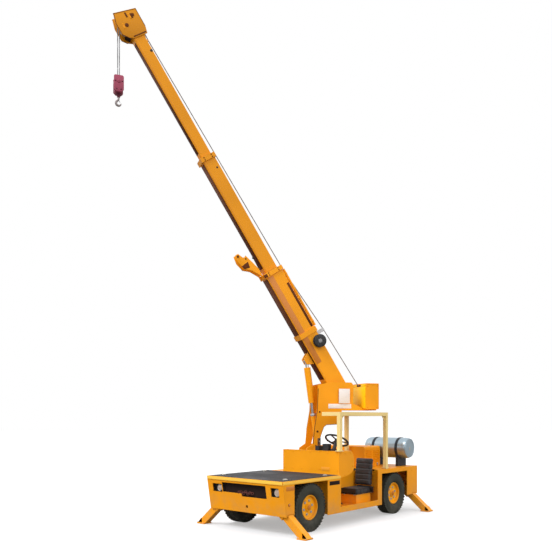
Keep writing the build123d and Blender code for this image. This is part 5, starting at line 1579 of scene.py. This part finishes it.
class CRANE_OT_turret(Operator):
    """Slew ring bolts, pivot pin caps, dark lines of painted shade along the plates' edges, dark pin ends and blank
    plates on the turret
    """
    bl_idname = "crane.turret"
    bl_label = "Turret"

    def execute(self, context):
        look = context.scene.crane_fittings
        low, high = span("slew_ring", TURRET)
        rows = round_pattern((0, 0, high.z), UP, (high.x - low.x) / 2 - 0.030, look.ring_bolts)
        bolts("slew_ring_bolts", "turret", rows, place=TURRET, size=look.ring_bolt)
        pivot = TURRET.inverted() @ joint_place("luff")
        caps, marks, beads, plates = makers(4, TURRET)
        for side in SIDES:
            out, y = LEFT * side, side * CHEEK_Y
            caps.disc((pivot.x, y, pivot.z), out, 0.034, 0.010, 0.003, 40)
            for x, z, radius in PIN_ENDS:
                marks.disc((x, y, z), out, radius, 0.004, 0.001, 20)
            # dark lines along the plates' front and back edges: painted shade
            for edge, size in ((FRONT_EDGE, 0.0045), (BACK_EDGE, 0.0035)):
                beads.tube([(x, y - side * 0.0015, z) for x, z in edge], size, 8)
        beads.piece("turret_edge_beads", "turret", "paint_orange", "sealer")
        caps.piece("pivot_pin_caps", "turret", "paint_orange")
        marks.piece("turret_pin_ends", "turret", "paint_orange", "sealer")
        plates.box((-0.403, 0.1618, 1.580), (-0.238, 0.1638, 1.780), 0.0006)
        for at, _ in grid(LEFT, (-0.390, -0.251), (0.142,), (1.593, 1.700)):
            plates.disc(at, LEFT, 0.006, 0.020, 0.0005, 12)
        plates.box((-0.432, 0.143, 1.510), (-0.089, 0.1452, 1.572), 0.0006)
        plates.piece("turret_blank_plates", "turret", "paint_cream", "blank")
        return {"FINISHED"}


class CRANE_OT_winch(Operator):
    """The winch housing's seams, bolts, front cover in a lighter enamel as painted light, flat dark plates of painted
    shade at the rope slot and low on the front face, and the motor
    """
    bl_idname = "crane.winch"
    bl_label = "Winch"

    def execute(self, context):
        low, high = span("winch_housing", TURRET)
        mid, face, skin = (low + high) / 2, high.x - 0.001, high.x + 0.0015
        seam, slot, motor, front = makers(4, TURRET)
        for side in SIDES:
            y = side * high.y
            seam.tube([(low.x + 0.012, y, high.z - 0.012), (high.x - 0.012, y, high.z - 0.012)], 0.0045, 10)
            seam.tube([(high.x - 0.002, y * 0.985, z) for z in (low.z + 0.012, high.z - 0.012)], 0.004, 10)
        seam.tube([(high.x - 0.002, y, high.z - 0.004) for y in (low.y + 0.012, high.y - 0.012)], 0.004, 10)
        # flat dark plates on the front face: painted shade at the rope slot and low on the front
        slot.box((face, -0.060, high.z - 0.040), (high.x + 0.001, 0.060, high.z - 0.014))
        slot.box((face, low.y + 0.055, low.z + 0.030), (high.x + 0.0025, low.y + 0.115, low.z + 0.060), 0.001)
        for down, radius, thick, rim in ((0.004, 0.062, 0.030, 0.006), (0.033, 0.044, 0.026, 0.005)):
            motor.disc((mid.x, low.y - down, mid.z), -LEFT, radius, thick, rim, 40)
        # front cover in the lighter enamel: painted light on the face the light falls on
        bottom, sill, top = low.z + 0.014, high.z - 0.046, high.z - 0.010
        for y0, y1, z0, z1 in ((low.y + 0.014, high.y - 0.014, bottom, sill), (low.y + 0.014, -0.062, sill, top),
                               (0.062, high.y - 0.014, sill, top)):
            front.box((face, y0, z0), (skin, y1, z1), 0.0006)
        front.piece("winch_front_cover", "turret", "paint_orange", "winch_orange")
        seam.piece("winch_seams", "turret", "paint_orange")
        slot.piece("winch_rope_slot", "turret", "paint_dark")
        motor.piece("winch_motor", "turret", "paint_dark")
        rows = grid(AHEAD, (high.x,), (low.y + 0.025, high.y - 0.025), (low.z + 0.03, mid.z, high.z - 0.03))
        rows += grid(LEFT, (low.x + 0.025, high.x - 0.025), (high.y,), (low.z + 0.03, high.z - 0.035))
        bolts("winch_bolts", "turret", rows, 0.75, TURRET, finish="paint_orange")
        return {"FINISHED"}


# ---- lift cylinder
class CRANE_OT_cylinder(Operator):
    """The lift cylinder's gland, bands and port, its chromed rod and the tube guard over it"""
    bl_idname = "crane.cylinder"
    bl_label = "Cylinder"

    def execute(self, context):
        low, high = span("cylinder_rod", CYLINDER)
        mouth = span("cylinder_barrel", CYLINDER)[1].x
        eye, outer = high.x - 0.034, high.y
        inner, first, last = outer - 0.004, eye - 0.585, eye - 0.095
        origin = (0, 0, 0)
        guard, rod, gland, bands = makers(4, CYLINDER)
        guard.lathe([(outer, first), (outer, last - 0.004), (outer - 0.003, last), (0.023, last),
                     (0.023, last - 0.010), (inner, last - 0.010), (inner, first)], origin, AHEAD, 56)
        for at in (first + 0.006, (first + last) / 2, last - 0.012):
            guard.lathe([(outer - 0.001, at - 0.005), (outer + 0.0006, at - 0.002), (outer + 0.0006, at + 0.002),
                         (outer - 0.001, at + 0.005)], origin, AHEAD, 56)
        guard.piece("cylinder_tube_guard", "cylinder_rod", "paint_orange")
        rod.spun([(0, low.x), (0.019, low.x), (0.022, low.x + 0.003), (0.022, eye - 0.030),
                  (0.015, eye - 0.024), (0, eye - 0.024)], origin, AHEAD, 40)
        half = [(0.0225, -0.026), (0.0325, -0.026), (0.034, -0.024)]
        rod.lathe(half + [(r, -w) for r, w in reversed(half)], (eye, 0, 0), LEFT, 40)
        rod.piece("cylinder_rod_chromed", "cylinder_rod", "chrome", replaces=("cylinder_rod",))
        gland.lathe([(0.024, mouth - 0.034), (0.0385, mouth - 0.034), (0.0395, mouth - 0.030),
                     (0.0395, mouth - 0.003), (0.037, mouth + 0.001), (0.024, mouth + 0.001)],
                    origin, AHEAD, 40)
        gland.piece("cylinder_gland", "cylinder_barrel", "steel")
        for at in (-0.250, 0.000):
            bands.lathe([(0.0379, at - 0.006), (0.0405, at - 0.004), (0.0405, at + 0.004), (0.0379, at + 0.006)],
                        origin, AHEAD, 40)
        bands.tube([(-0.270, 0, 0.036), (-0.270, 0, 0.055)], 0.010, 12)
        bands.piece("cylinder_bands", "cylinder_barrel", "paint_orange")
        return {"FINISHED"}


# ---- boom
# The sections' depth and width, about a middle line below the pivot.
BOOM_SHAPES = {"boom_base": (0.254, 0.200), "boom_mid": (0.186, 0.150), "boom_tip": (0.152, 0.116)}
BOOM_MIDDLE = -0.085
COLLAR_LIP = 0.016
COLLAR_ROLLER = 0.012


class CRANE_OT_boom(Operator):
    """Boom collars' bolts and wear pads, seam strips, pin holes as dark discs of painted shade, and painted shade as
    dark strips under each section, a darker band low on the base section's side and dark lines under the conduit and
    low on the base collar
    """
    bl_idname = "crane.boom"
    bl_label = "Boom"

    def execute(self, context):
        base, mid, tip = (span(node, BOOM) for node in BOOM_SHAPES)
        for node, (_, high) in (("boom_base", base), ("boom_mid", mid)):
            self.collar(node, high.x)
        for node, first, last in (("boom_base", 0.30, base[1].x - 0.065),
                                  ("boom_mid", mid[0].x + 0.40, mid[1].x - 0.065),
                                  ("boom_tip", tip[0].x + 0.45, tip[1].x - 0.02)):
            half, under = self.underside(node)
            seams = Maker(BOOM)
            for side in SIDES:
                seams.tube([(x, side * (half - 0.001), under + 0.018) for x in (first, last)], 0.0028, 6)
            seams.piece(f"{node}_seams", node, "paint_orange", "rub_strip")
        # flat dark discs: painted shade for pin holes
        for node, x, up, radius in (("boom_tip", 5.04, -0.030, 0.018), ("boom_mid", 3.430, -0.040, 0.013)):
            mark = Maker(BOOM).disc((x, BOOM_SHAPES[node][1] / 2 - 0.0005, up), LEFT, radius, 0.0012, 0.0003, 20)
            mark.piece(f"{node}_pin_hole", node, "paint_dark")
        # dark brown strips: painted shade on each section's underside
        for node, first, last in (("boom_base", 0.32, base[1].x - 0.075),
                                  ("boom_mid", mid[0].x + 0.46, mid[1].x - 0.075),
                                  ("boom_tip", tip[0].x + 0.46, 5.20)):
            half, under = self.underside(node)
            strip = Maker(BOOM).box((first, 0.010 - half, under - 0.0006), (last, half - 0.010, under + 0.0005),
                                    0.0005)
            strip.piece(f"{node}_under_track", node, "paint_orange", "sealer")
        skin = BOOM_SHAPES["boom_base"][1] / 2
        # darker band low on the base's side, dark lines under the conduit and on the collar: painted shade
        rub, seal = makers(2, BOOM)
        rub.box((0.55, skin - 0.0005, BOOM_MIDDLE - 0.117), (1.88, skin + 0.0012, BOOM_MIDDLE - 0.034), 0.0005)
        rub.piece("boom_base_rub_strip", "boom_base", "paint_orange", "rub_strip")
        seal.box((1.03, skin - 0.0005, BOOM_MIDDLE + 0.082), (1.70, skin + 0.0016, BOOM_MIDDLE + 0.117), 0.0006)
        end = base[1].x
        seal.box((end - 0.055, 0.1155, -0.245), (end - 0.012, 0.1175, -0.190), 0.0006)
        seal.piece("boom_base_sealer_strip", "boom_base", "paint_orange", "sealer")
        return {"FINISHED"}

    @staticmethod
    def underside(node):
        """A section's half width, and how high its underside is."""
        deep, wide = BOOM_SHAPES[node]
        return wide / 2, BOOM_MIDDLE - deep / 2

    @staticmethod
    def collar(node, end):
        """A collar's pad bolts and the wear pads in its mouth."""
        deep, wide = BOOM_SHAPES[node]
        xs, skin, top = (end - 0.045, end - 0.015), wide / 2 + COLLAR_LIP, BOOM_MIDDLE + deep / 2 + COLLAR_LIP
        rows = grid(UP, xs, (-0.30 * wide, 0.30 * wide), (top,))
        pads = Maker(BOOM)
        for side in SIDES:
            rows += grid(LEFT * side, xs, (side * skin,), (BOOM_MIDDLE - 0.30 * deep, BOOM_MIDDLE + 0.30 * deep))
            y = side * (wide / 2 - 0.012)
            pads.box((end - 0.002, y - 0.004, BOOM_MIDDLE - 0.30 * deep),
                     (end + 0.003, y + 0.004, BOOM_MIDDLE + 0.30 * deep), 0.001)
        bolts(f"{node}_pad_bolts", node, rows, 0.75, BOOM, finish="sealer")
        pads.piece(f"{node}_wear_pads", node, "black_plastic")


class CRANE_OT_jib_bracket(Operator):
    """The rope anchor bracket under the base section's end: two plates, pins and a latch"""
    bl_idname = "crane.jib_bracket"
    bl_label = "Jib Bracket"

    def execute(self, context):
        low, high = span("hook_bracket", BOOM)
        half, tip, top = high.y, high.x + 0.120, high.z
        outline = [(low.x, top), (low.x + 0.160, top + 0.002)]
        outline += [(tip - back, top - down) for back, down in (
            (0.180, 0.034), (0.066, 0.070), (0.088, 0.112), (0, 0.150), (0, 0.192), (0.100, 0.208),
            (0.215, 0.178), (0.275, 0.096))]
        outline.append((low.x + 0.080, top - 0.030))
        patch = [(tip - back, top - down) for back, down in (
            (0.230, 0.100), (0.150, 0.085), (0.165, 0.190), (0.215, 0.180))]
        plates, pins, latch = makers(3, BOOM)
        for side in SIDES:
            plates.slab(outline, side * (half - 0.012), side * half, 0.0015)
            for back, down, radius in ((0.030, 0.172, 0.017), (0.200, 0.150, 0.015), (0.105, 0.090, 0.010)):
                pins.disc((tip - back, side * (half - 0.001), top - down), LEFT * side, radius, 0.008, 0.002, 24)
            pins.slab(patch, side * (half - 0.001), side * (half + 0.002), 0.0008)
        y, end = half - 0.006, high.x - 0.020
        latch.tube([(low.x + 0.090, y, top + 0.003), (end, y, top + 0.010)], 0.006, 10)
        latch.disc((end - 0.014, y, top + 0.010), AHEAD, 0.015, 0.024, 0.005, 24)
        plates.piece("hook_bracket_plates", "boom_base", "paint_orange", replaces=("hook_bracket",))
        pins.piece("hook_bracket_pins", "boom_base", "paint_orange", "sealer")
        latch.piece("hook_bracket_latch", "boom_base", "black_plastic")
        return {"FINISHED"}


class CRANE_OT_cord_reel(Operator):
    """Flanges, spokes, turns of cord and the hub of the switch cord's reel"""
    bl_idname = "crane.cord_reel"
    bl_label = "Cord Reel"

    def execute(self, context):
        last = span("cord_reel", BOOM)[1].y
        first, (x, z) = last - 0.055, (0.810, -0.010)
        radius, width, turns = 0.088, last - first - 0.012, 7
        reel, cord, hub = makers(3, BOOM)
        for y in (first + 0.001, last - 0.004):
            reel.lathe([(0.030, -0.002), (radius - 0.004, -0.002), (radius, 0.0), (radius, 0.003),
                        (radius - 0.004, 0.005), (0.030, 0.005)], (x, y, z), LEFT, 56)
        pitch, profile = width / turns, [(0.040, 0.0)]
        for k in range(turns):
            for j in range(5):
                a = pi * (1 - j / 4)
                profile.append((0.070 + 0.0035 * sin(a), pitch * k + pitch / 2 * (1 + cos(a))))
        cord.lathe(profile + [(0.040, width)], (x, first + 0.006, z), LEFT, 56)
        hub.disc((x, first - 0.012, z), LEFT, 0.030, last - first + 0.010, 0.003, 32)
        for k in range(6):
            a = 2 * pi * k / 6
            reel.tube([(x + r * cos(a), last - 0.0005, z + r * sin(a)) for r in (0.028, 0.078)],
                      0.0045, 8)
        reel.piece("cord_reel_flanges", "boom_base", "black_plastic", replaces=("cord_reel",))
        cord.piece("cord_reel_turns", "boom_base", "black_plastic", "hose")
        hub.piece("cord_reel_hub", "boom_base", "steel", "grey_plastic")
        return {"FINISHED"}


# ---- rigging
HEAD_SHEAVE, HEAD_SHEAVE_R = Vector((5.414, 0, -0.154)), 0.090
TOP_SHEAVE, TOP_SHEAVE_R = Vector((5.5, 0, -0.02)), 0.060


def sheave_profile(radius, half, rope):
    """A grooved sheave's rim and web, as (radius, place along the axle)."""
    floor = radius - 2.2 * rope
    rim = floor - 0.010
    one = [(0.014, half * 0.95), (0.026, half * 0.95), (0.028, half * 0.45), (rim, half * 0.45),
           (rim + 0.003, half * 0.8), (radius - 0.002, half), (radius, half * 0.92),
           (floor + 0.4 * rope, 0.55 * rope + 0.001), (floor, 0.0)]
    return one + [(r, -w) for r, w in reversed(one[:-1])]


def roller_places():
    """Centres of the rope rollers on the base collar, the middle collar and the boom's tip."""
    return [Vector((high.x - back, 0, high.z + 0.014)) for high, back in (
        (span("boom_base", BOOM)[1], 0.022), (span("boom_mid", BOOM)[1], 0.020), (span("boom_tip", BOOM)[1], 0.120))]


class CRANE_OT_hoist_rope(Operator):
    """The wire rope from the winch over the guide, the rollers and the head to the hook block"""
    bl_idname = "crane.hoist_rope"
    bl_label = "Hoist Rope"

    def execute(self, context):
        look = context.scene.crane_rigging
        r = look.rope_radius
        sizes = {"strands": look.strands, "rope_radius": r, "lay": look.lay}
        to_boom = BOOM.inverted() @ TURRET
        winch = span("winch_housing", TURRET)[1]
        drum = to_boom @ Vector((winch.x - 0.030, 0, winch.z - 0.034))
        slot = to_boom @ Vector((winch.x + 0.010, 0, winch.z - 0.028))
        guide = Vector((0.905, 0, span("rope_guide", BOOM)[1].z - 0.003 + r))
        self.line("hoist_rope_to_guide", [drum, slot, guide], sizes, "turret", "boom_base",
                  slot, slot + (guide - slot) * 0.14)
        stops = [at + UP * (COLLAR_ROLLER + r) for at in roller_places()]
        self.run("hoist_rope_on_base", [guide + (stops[0] - guide) * k / 10 for k in range(11)], sizes,
                 "boom_base", BOOM)
        ease = AHEAD * 0.03
        for k, name, bodies in ((0, "hoist_rope_on_mid", ("boom_base", "boom_mid")),
                                (1, "hoist_rope_on_tip", ("boom_mid", "boom_tip"))):
            first, last = stops[k:k + 2]
            self.line(name, [first, last], sizes, *bodies, first + ease, last - ease)
        path = [stops[2]] + arc(TOP_SHEAVE, TOP_SHEAVE_R + r - 0.009, 98, -20, 14)
        path += arc(HEAD_SHEAVE, HEAD_SHEAVE_R + r - 0.011, 32, -32, 8)
        self.run("hoist_rope_over_head", path, sizes, "boom_tip", BOOM)
        low, high = span("hoist_ropes")
        (x, y, _), apart = (low + high) / 2, (high.y - low.y - 0.010) / 2
        bottom, top = low.z + 0.004, high.z - 0.004
        for hand, side in HANDS:
            points = [(x, y + side * apart, bottom + (top - bottom) * k / 6) for k in range(7)]
            self.run(f"hoist_fall_{hand}", points, sizes, "fall", MACHINE, ("hoist_ropes",) if side > 0 else ())
        return {"FINISHED"}

    @staticmethod
    def run(name, points, sizes, body, place, replaces=()):
        """A length of rope that stays on one body."""
        shown(name, rope_mesh(points, place, **sizes), body, "wire_rope", replaces)

    @staticmethod
    def line(name, ends, sizes, first, second, start, end):
        """A length of rope from one body to another, blended from start to end."""
        points = [a + (b - a) * k / 12 for a, b in zip(ends, ends[1:]) for k in range(12)] + [ends[-1]]
        piece = shown(name, rope_mesh(points, BOOM, **sizes), None, "wire_rope")
        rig.blend(piece, first, second, start=tuple(BOOM @ start), end=tuple(BOOM @ end))


class CRANE_OT_boom_head(Operator):
    """Cheeks in a darker enamel as painted shade, dark strips and marks of painted shade on them, inner plates in
    painted shade, grooved sheaves, pins and keepers at the boom's head
    """
    bl_idname = "crane.boom_head"
    bl_label = "Boom Head"

    def execute(self, context):
        rope = context.scene.crane_rigging.rope_radius
        wheels, cheeks, edges, inner, pins, keepers = makers(6, BOOM)
        for dy in (-0.022, 0.022):
            wheels.lathe(sheave_profile(HEAD_SHEAVE_R, 0.013, rope), HEAD_SHEAVE + LEFT * dy, LEFT, 56)
        wheels.lathe(sheave_profile(TOP_SHEAVE_R, 0.013, rope), TOP_SHEAVE, LEFT, 48)
        wheels.piece("head_sheaves_grooved", "boom_tip", "steel", replaces=("head_sheaves",))
        nose, half, _ = span("boom_head", BOOM)[1]
        outline = [(nose - back, up) for back, up in (
            (0.358, -0.150), (0.322, -0.216), (0.266, -0.270), (0.120, -0.273), (0, -0.235), (0.040, 0.060),
            (0.270, 0.060), (0.358, 0.036))]
        inside = half - 0.0125
        for side in SIDES:
            cheeks.slab(outline, side * inside, side * half, 0.002)
            # dark strips along the cheeks' edges and two dark marks: painted shade
            for corners, back, up in ((outline[1:5], 0.004, 0.005), (outline[4:7], 0.007, -0.005)):
                edges.tube([(x - back, side * (half - 0.002), v + up) for x, v in corners], 0.0045, 8)
            y = side * (half + 0.001)
            for x0, x1, v0, v1 in ((0.104, 0.044, -0.108, -0.088), (0.136, 0.076, -0.050, -0.030),
                                   (0.345, 0.331, -0.148, 0.030)):
                edges.box((nose - x0, y - 0.002, v0), (nose - x1, y + 0.002, v1), 0.001)
        # inner plates in near black: painted shade inside the head
        inner.box((nose - 0.335, -inside, -0.205), (nose - 0.262, inside, -0.198), 0.001,
                  Matrix.Rotation(radians(40), 4, "Y"))
        inner.box((nose - 0.300, -inside, 0.040), (nose - 0.232, inside, 0.046), 0.001)
        cheeks.piece("boom_head_cheeks", "boom_tip", "paint_orange", "head_orange", ("boom_head",))
        edges.piece("boom_head_edge_strips", "boom_tip", "paint_orange", "sealer")
        inner.piece("boom_head_inner_plates", "boom_tip", "paint_orange", "cavity")
        rows = []
        for at, radius in ((HEAD_SHEAVE, 0.016), (TOP_SHEAVE, 0.013)):
            pins.disc(at - LEFT * (half - 0.004), LEFT, radius - 0.001, 2 * half - 0.008, 0.001, 28)
            for side in SIDES:
                face = at + LEFT * (side * (half - 0.002))
                pins.disc(face, LEFT * side, radius + 0.007, 0.007, 0.002, 32)
                keepers.box(face + Vector((-0.034, 0.001 * side - 0.003, -0.052)),
                            face + Vector((0.034, 0.001 * side + 0.003, -0.034)), 0.001)
                rows += grid(LEFT * side, (at.x - 0.024, at.x + 0.024), (side * (half + 0.001),), (at.z - 0.043,))
        pins.piece("head_pins", "boom_tip", "steel", "sealer")
        keepers.piece("head_pin_keepers", "boom_tip", "paint_orange")
        bolts("head_bolts", "boom_tip", rows, 0.6, BOOM, finish="paint_orange")
        return {"FINISHED"}


class CRANE_OT_rope_rollers(Operator):
    """Brackets with a grooved roller that carry the rope over each collar and the tip"""
    bl_idname = "crane.rope_rollers"
    bl_label = "Rope Rollers"

    def execute(self, context):
        flange = COLLAR_ROLLER + 0.003
        for node, (x, y, z) in zip(BOOM_SHAPES, roller_places()):
            bracket, roller = makers(2, BOOM)
            outline = [(x - 0.020, z - 0.016), (x + 0.020, z - 0.016), (x + 0.009, z + 0.010),
                       (x - 0.009, z + 0.010)]
            for side in SIDES:
                bracket.slab(outline, side * 0.020, side * 0.025, 0.001)
            roller.lathe([(0.004, -0.018), (flange, -0.018), (COLLAR_ROLLER, -0.007), (COLLAR_ROLLER, 0.007),
                          (flange, 0.018), (0.004, 0.018)], (x, y, z), LEFT, 28)
            roller.disc((x, y - 0.027, z), LEFT, 0.004, 0.054, 0.001, 16)
            bracket.piece(f"{node}_rope_bracket", node, "paint_orange")
            roller.piece(f"{node}_rope_roller", node, "steel")
        return {"FINISHED"}


class CRANE_OT_hook_block(Operator):
    """The hook block: cheeks, inner plates in a darker maroon as painted shade, a grooved sheave, tie bars and bolts
    """
    bl_idname = "crane.hook_block"
    bl_label = "Hook Block"

    def execute(self, context):
        rope = context.scene.crane_rigging.rope_radius
        low, high = span("hook_block", TURRET)
        mid, half, wide, cut = (low + high) / 2, (high.y - low.y) / 2, (high.x - low.x) / 2, 0.014
        outline = [(low.x + cut, high.z), (high.x - cut, high.z), (high.x, high.z - cut),
                   (high.x, low.z + 2 * cut), (high.x - 2 * cut, low.z), (low.x + 2 * cut, low.z),
                   (low.x, low.z + 2 * cut), (low.x, high.z - cut)]
        smaller = [(mid.x + (x - mid.x) * 0.90, low.z + 0.004 + (z - low.z) * 0.96) for x, z in outline]
        cheeks, inside, sheave, caps = makers(4, TURRET)
        centre, rows = Vector((mid.x, mid.y, high.z - 0.072)), []
        sheave.lathe(sheave_profile(0.058, 0.012, rope), centre, LEFT, 48)
        for side in SIDES:
            out, face = LEFT * side, mid.y + side * half
            cheeks.slab(outline, face, face - side * 0.016, 0.003)
            inside.slab(smaller, face - side * 0.017, face - side * 0.034, 0.002)
            caps.disc(centre + out * (half - 0.002), out, 0.026, 0.008, 0.003, 36)
            caps.disc(centre + out * (half + 0.005), out, 0.011, 0.004, 0.001, 6)
            for share, z in ((0.72, high.z - 0.076), (0.45, low.z + 0.030)):
                rows += grid(out, (mid.x - share * wide, mid.x + share * wide), (face,), (z,))
        cheeks.box((low.x + 0.18 * wide, low.y + 0.020, low.z + 0.002),
                   (high.x - 0.18 * wide, high.y - 0.020, low.z + 0.052), 0.004)
        for x in (mid.x - 0.72 * wide, mid.x + 0.72 * wide):
            cheeks.box((x - 0.009, low.y + 0.018, high.z - 0.088), (x + 0.009, high.y - 0.018, high.z - 0.064),
                       0.003)
        cheeks.piece("hook_block_cheeks", "fall", "paint_maroon", replaces=("hook_block",))
        # inner plates in the darker maroon: painted shade between the cheeks
        inside.piece("hook_block_inner_plates", "fall", "paint_maroon", "block_shade")
        sheave.piece("hook_block_sheave", "fall", "steel")
        caps.piece("hook_block_pin", "fall", "paint_maroon")
        bolts("hook_block_bolts", "fall", rows, 0.75, TURRET, finish="block_shade")
        return {"FINISHED"}


class CRANE_OT_hook(Operator):
    """The forged swivel hook with its nut and spring latch"""
    bl_idname = "crane.hook"
    bl_label = "Hook"

    def execute(self, context):
        low, high = span("hook", TURRET)
        block = span("hook_block", TURRET)
        (x, y, _), bottom = (block[0] + block[1]) / 2, block[0].z
        bowl, thick, count = 0.031, 0.0135, 22
        centre = Vector(((low.x + high.x) / 2, (low.y + high.y) / 2, low.z - 0.022 + bowl + thick))
        forged, latch, swivel = makers(3, TURRET)
        swivel.disc((x, y, bottom - 0.022), UP, 0.027, 0.026, 0.005, 32)
        swivel.disc((x, y, bottom - 0.050), UP, 0.020, 0.030, 0.006, 6)
        points = [(x, y, bottom + 0.004), (x, y, bottom - 0.048), (x, y, centre.z + 0.048)]
        radii = [0.0135, 0.0135, 0.0125]
        for k in range(1, count):
            share = k / (count - 1)
            a = radians(75 - 250 * share)
            points.append((centre.x + bowl * cos(a), centre.y, centre.z + bowl * sin(a)))
            radii.append(thick * (0.95 + 0.15 * sin(pi * share)) * (1 - 0.62 * share ** 4))
        forged.tube(points, radii, 16)
        for dy in (-0.004, 0.004):
            latch.tube([(x - 0.004, centre.y + dy, centre.z + 0.038),
                        (centre.x - 0.60 * bowl, centre.y + dy, centre.z + 0.012)], 0.003, 8)
        forged.piece("hook_forged", "hook", "paint_maroon", "hook_iron", replaces=("hook",))
        latch.piece("hook_latch", "hook", "steel")
        # swivel nut in the darker maroon: painted shade under the block
        swivel.piece("hook_swivel_nut", "hook", "paint_maroon", "block_shade")
        return {"FINISHED"}


class CRANE_OT_hoses(Operator):
    """Clamps that hold the conduit along the boom"""
    bl_idname = "crane.hoses"
    bl_label = "Hoses"

    def execute(self, context):
        low, high = span("conduit", BOOM)
        clamps, y = Maker(BOOM), (low.y + high.y) / 2
        for share in (0.08, 0.5, 0.92):
            x = low.x + share * (high.x - low.x)
            clamps.box((x - 0.012, y - 0.024, high.z - 0.052), (x + 0.012, y + 0.024, high.z - 0.036), 0.002)
            clamps.lathe([(0.0175, -0.009), (0.0205, -0.009), (0.0205, 0.009), (0.0175, 0.009)],
                         (x, y, high.z - 0.017), AHEAD, 28)
        clamps.piece("conduit_clamps", "boom_base", "steel", "paint_orange")
        return {"FINISHED"}


# ---- add-on
PIECES = [item for item in list(globals().values())
          if isinstance(item, type) and issubclass(item, Operator) and item is not Operator]
SETTINGS = (("crane_colours", CraneColours), ("crane_wheels", CraneWheels), ("crane_rigging", CraneRigging),
            ("crane_fittings", CraneFittings), ("crane_stage", CraneStage))


class CRANE_PT_panel(bpy.types.Panel):
    """The crane's sizes, colours and pieces"""
    bl_idname = "CRANE_PT_panel"
    bl_label = "Carry Deck Crane"
    bl_space_type = "VIEW_3D"
    bl_region_type = "UI"
    bl_category = "Crane"

    def draw(self, context):
        for name, group in SETTINGS:
            box = self.layout.box()
            for field in group.__annotations__:
                box.prop(getattr(context.scene, name), field)
        for operator in PIECES:
            self.layout.operator(operator.bl_idname)


def register():
    for name, group in SETTINGS:
        bpy.utils.register_class(group)
        setattr(bpy.types.Scene, name, bpy.props.PointerProperty(type=group))
    for item in (*PIECES, CRANE_PT_panel):
        bpy.utils.register_class(item)


def unregister():
    for item in (CRANE_PT_panel, *reversed(PIECES)):
        bpy.utils.unregister_class(item)
    for name, group in reversed(SETTINGS):
        delattr(bpy.types.Scene, name)
        bpy.utils.unregister_class(group)


def main():
    register()
    for operator in PIECES:
        getattr(bpy.ops.crane, operator.bl_idname.split(".")[1])()
    with open("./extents.json", "w") as out:
        json.dump({"cad": [list(corner) for corner in CAD_BOX],
                   "visual": [list(corner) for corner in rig.bounds()]}, out)


if __name__ == "__main__":
    main()
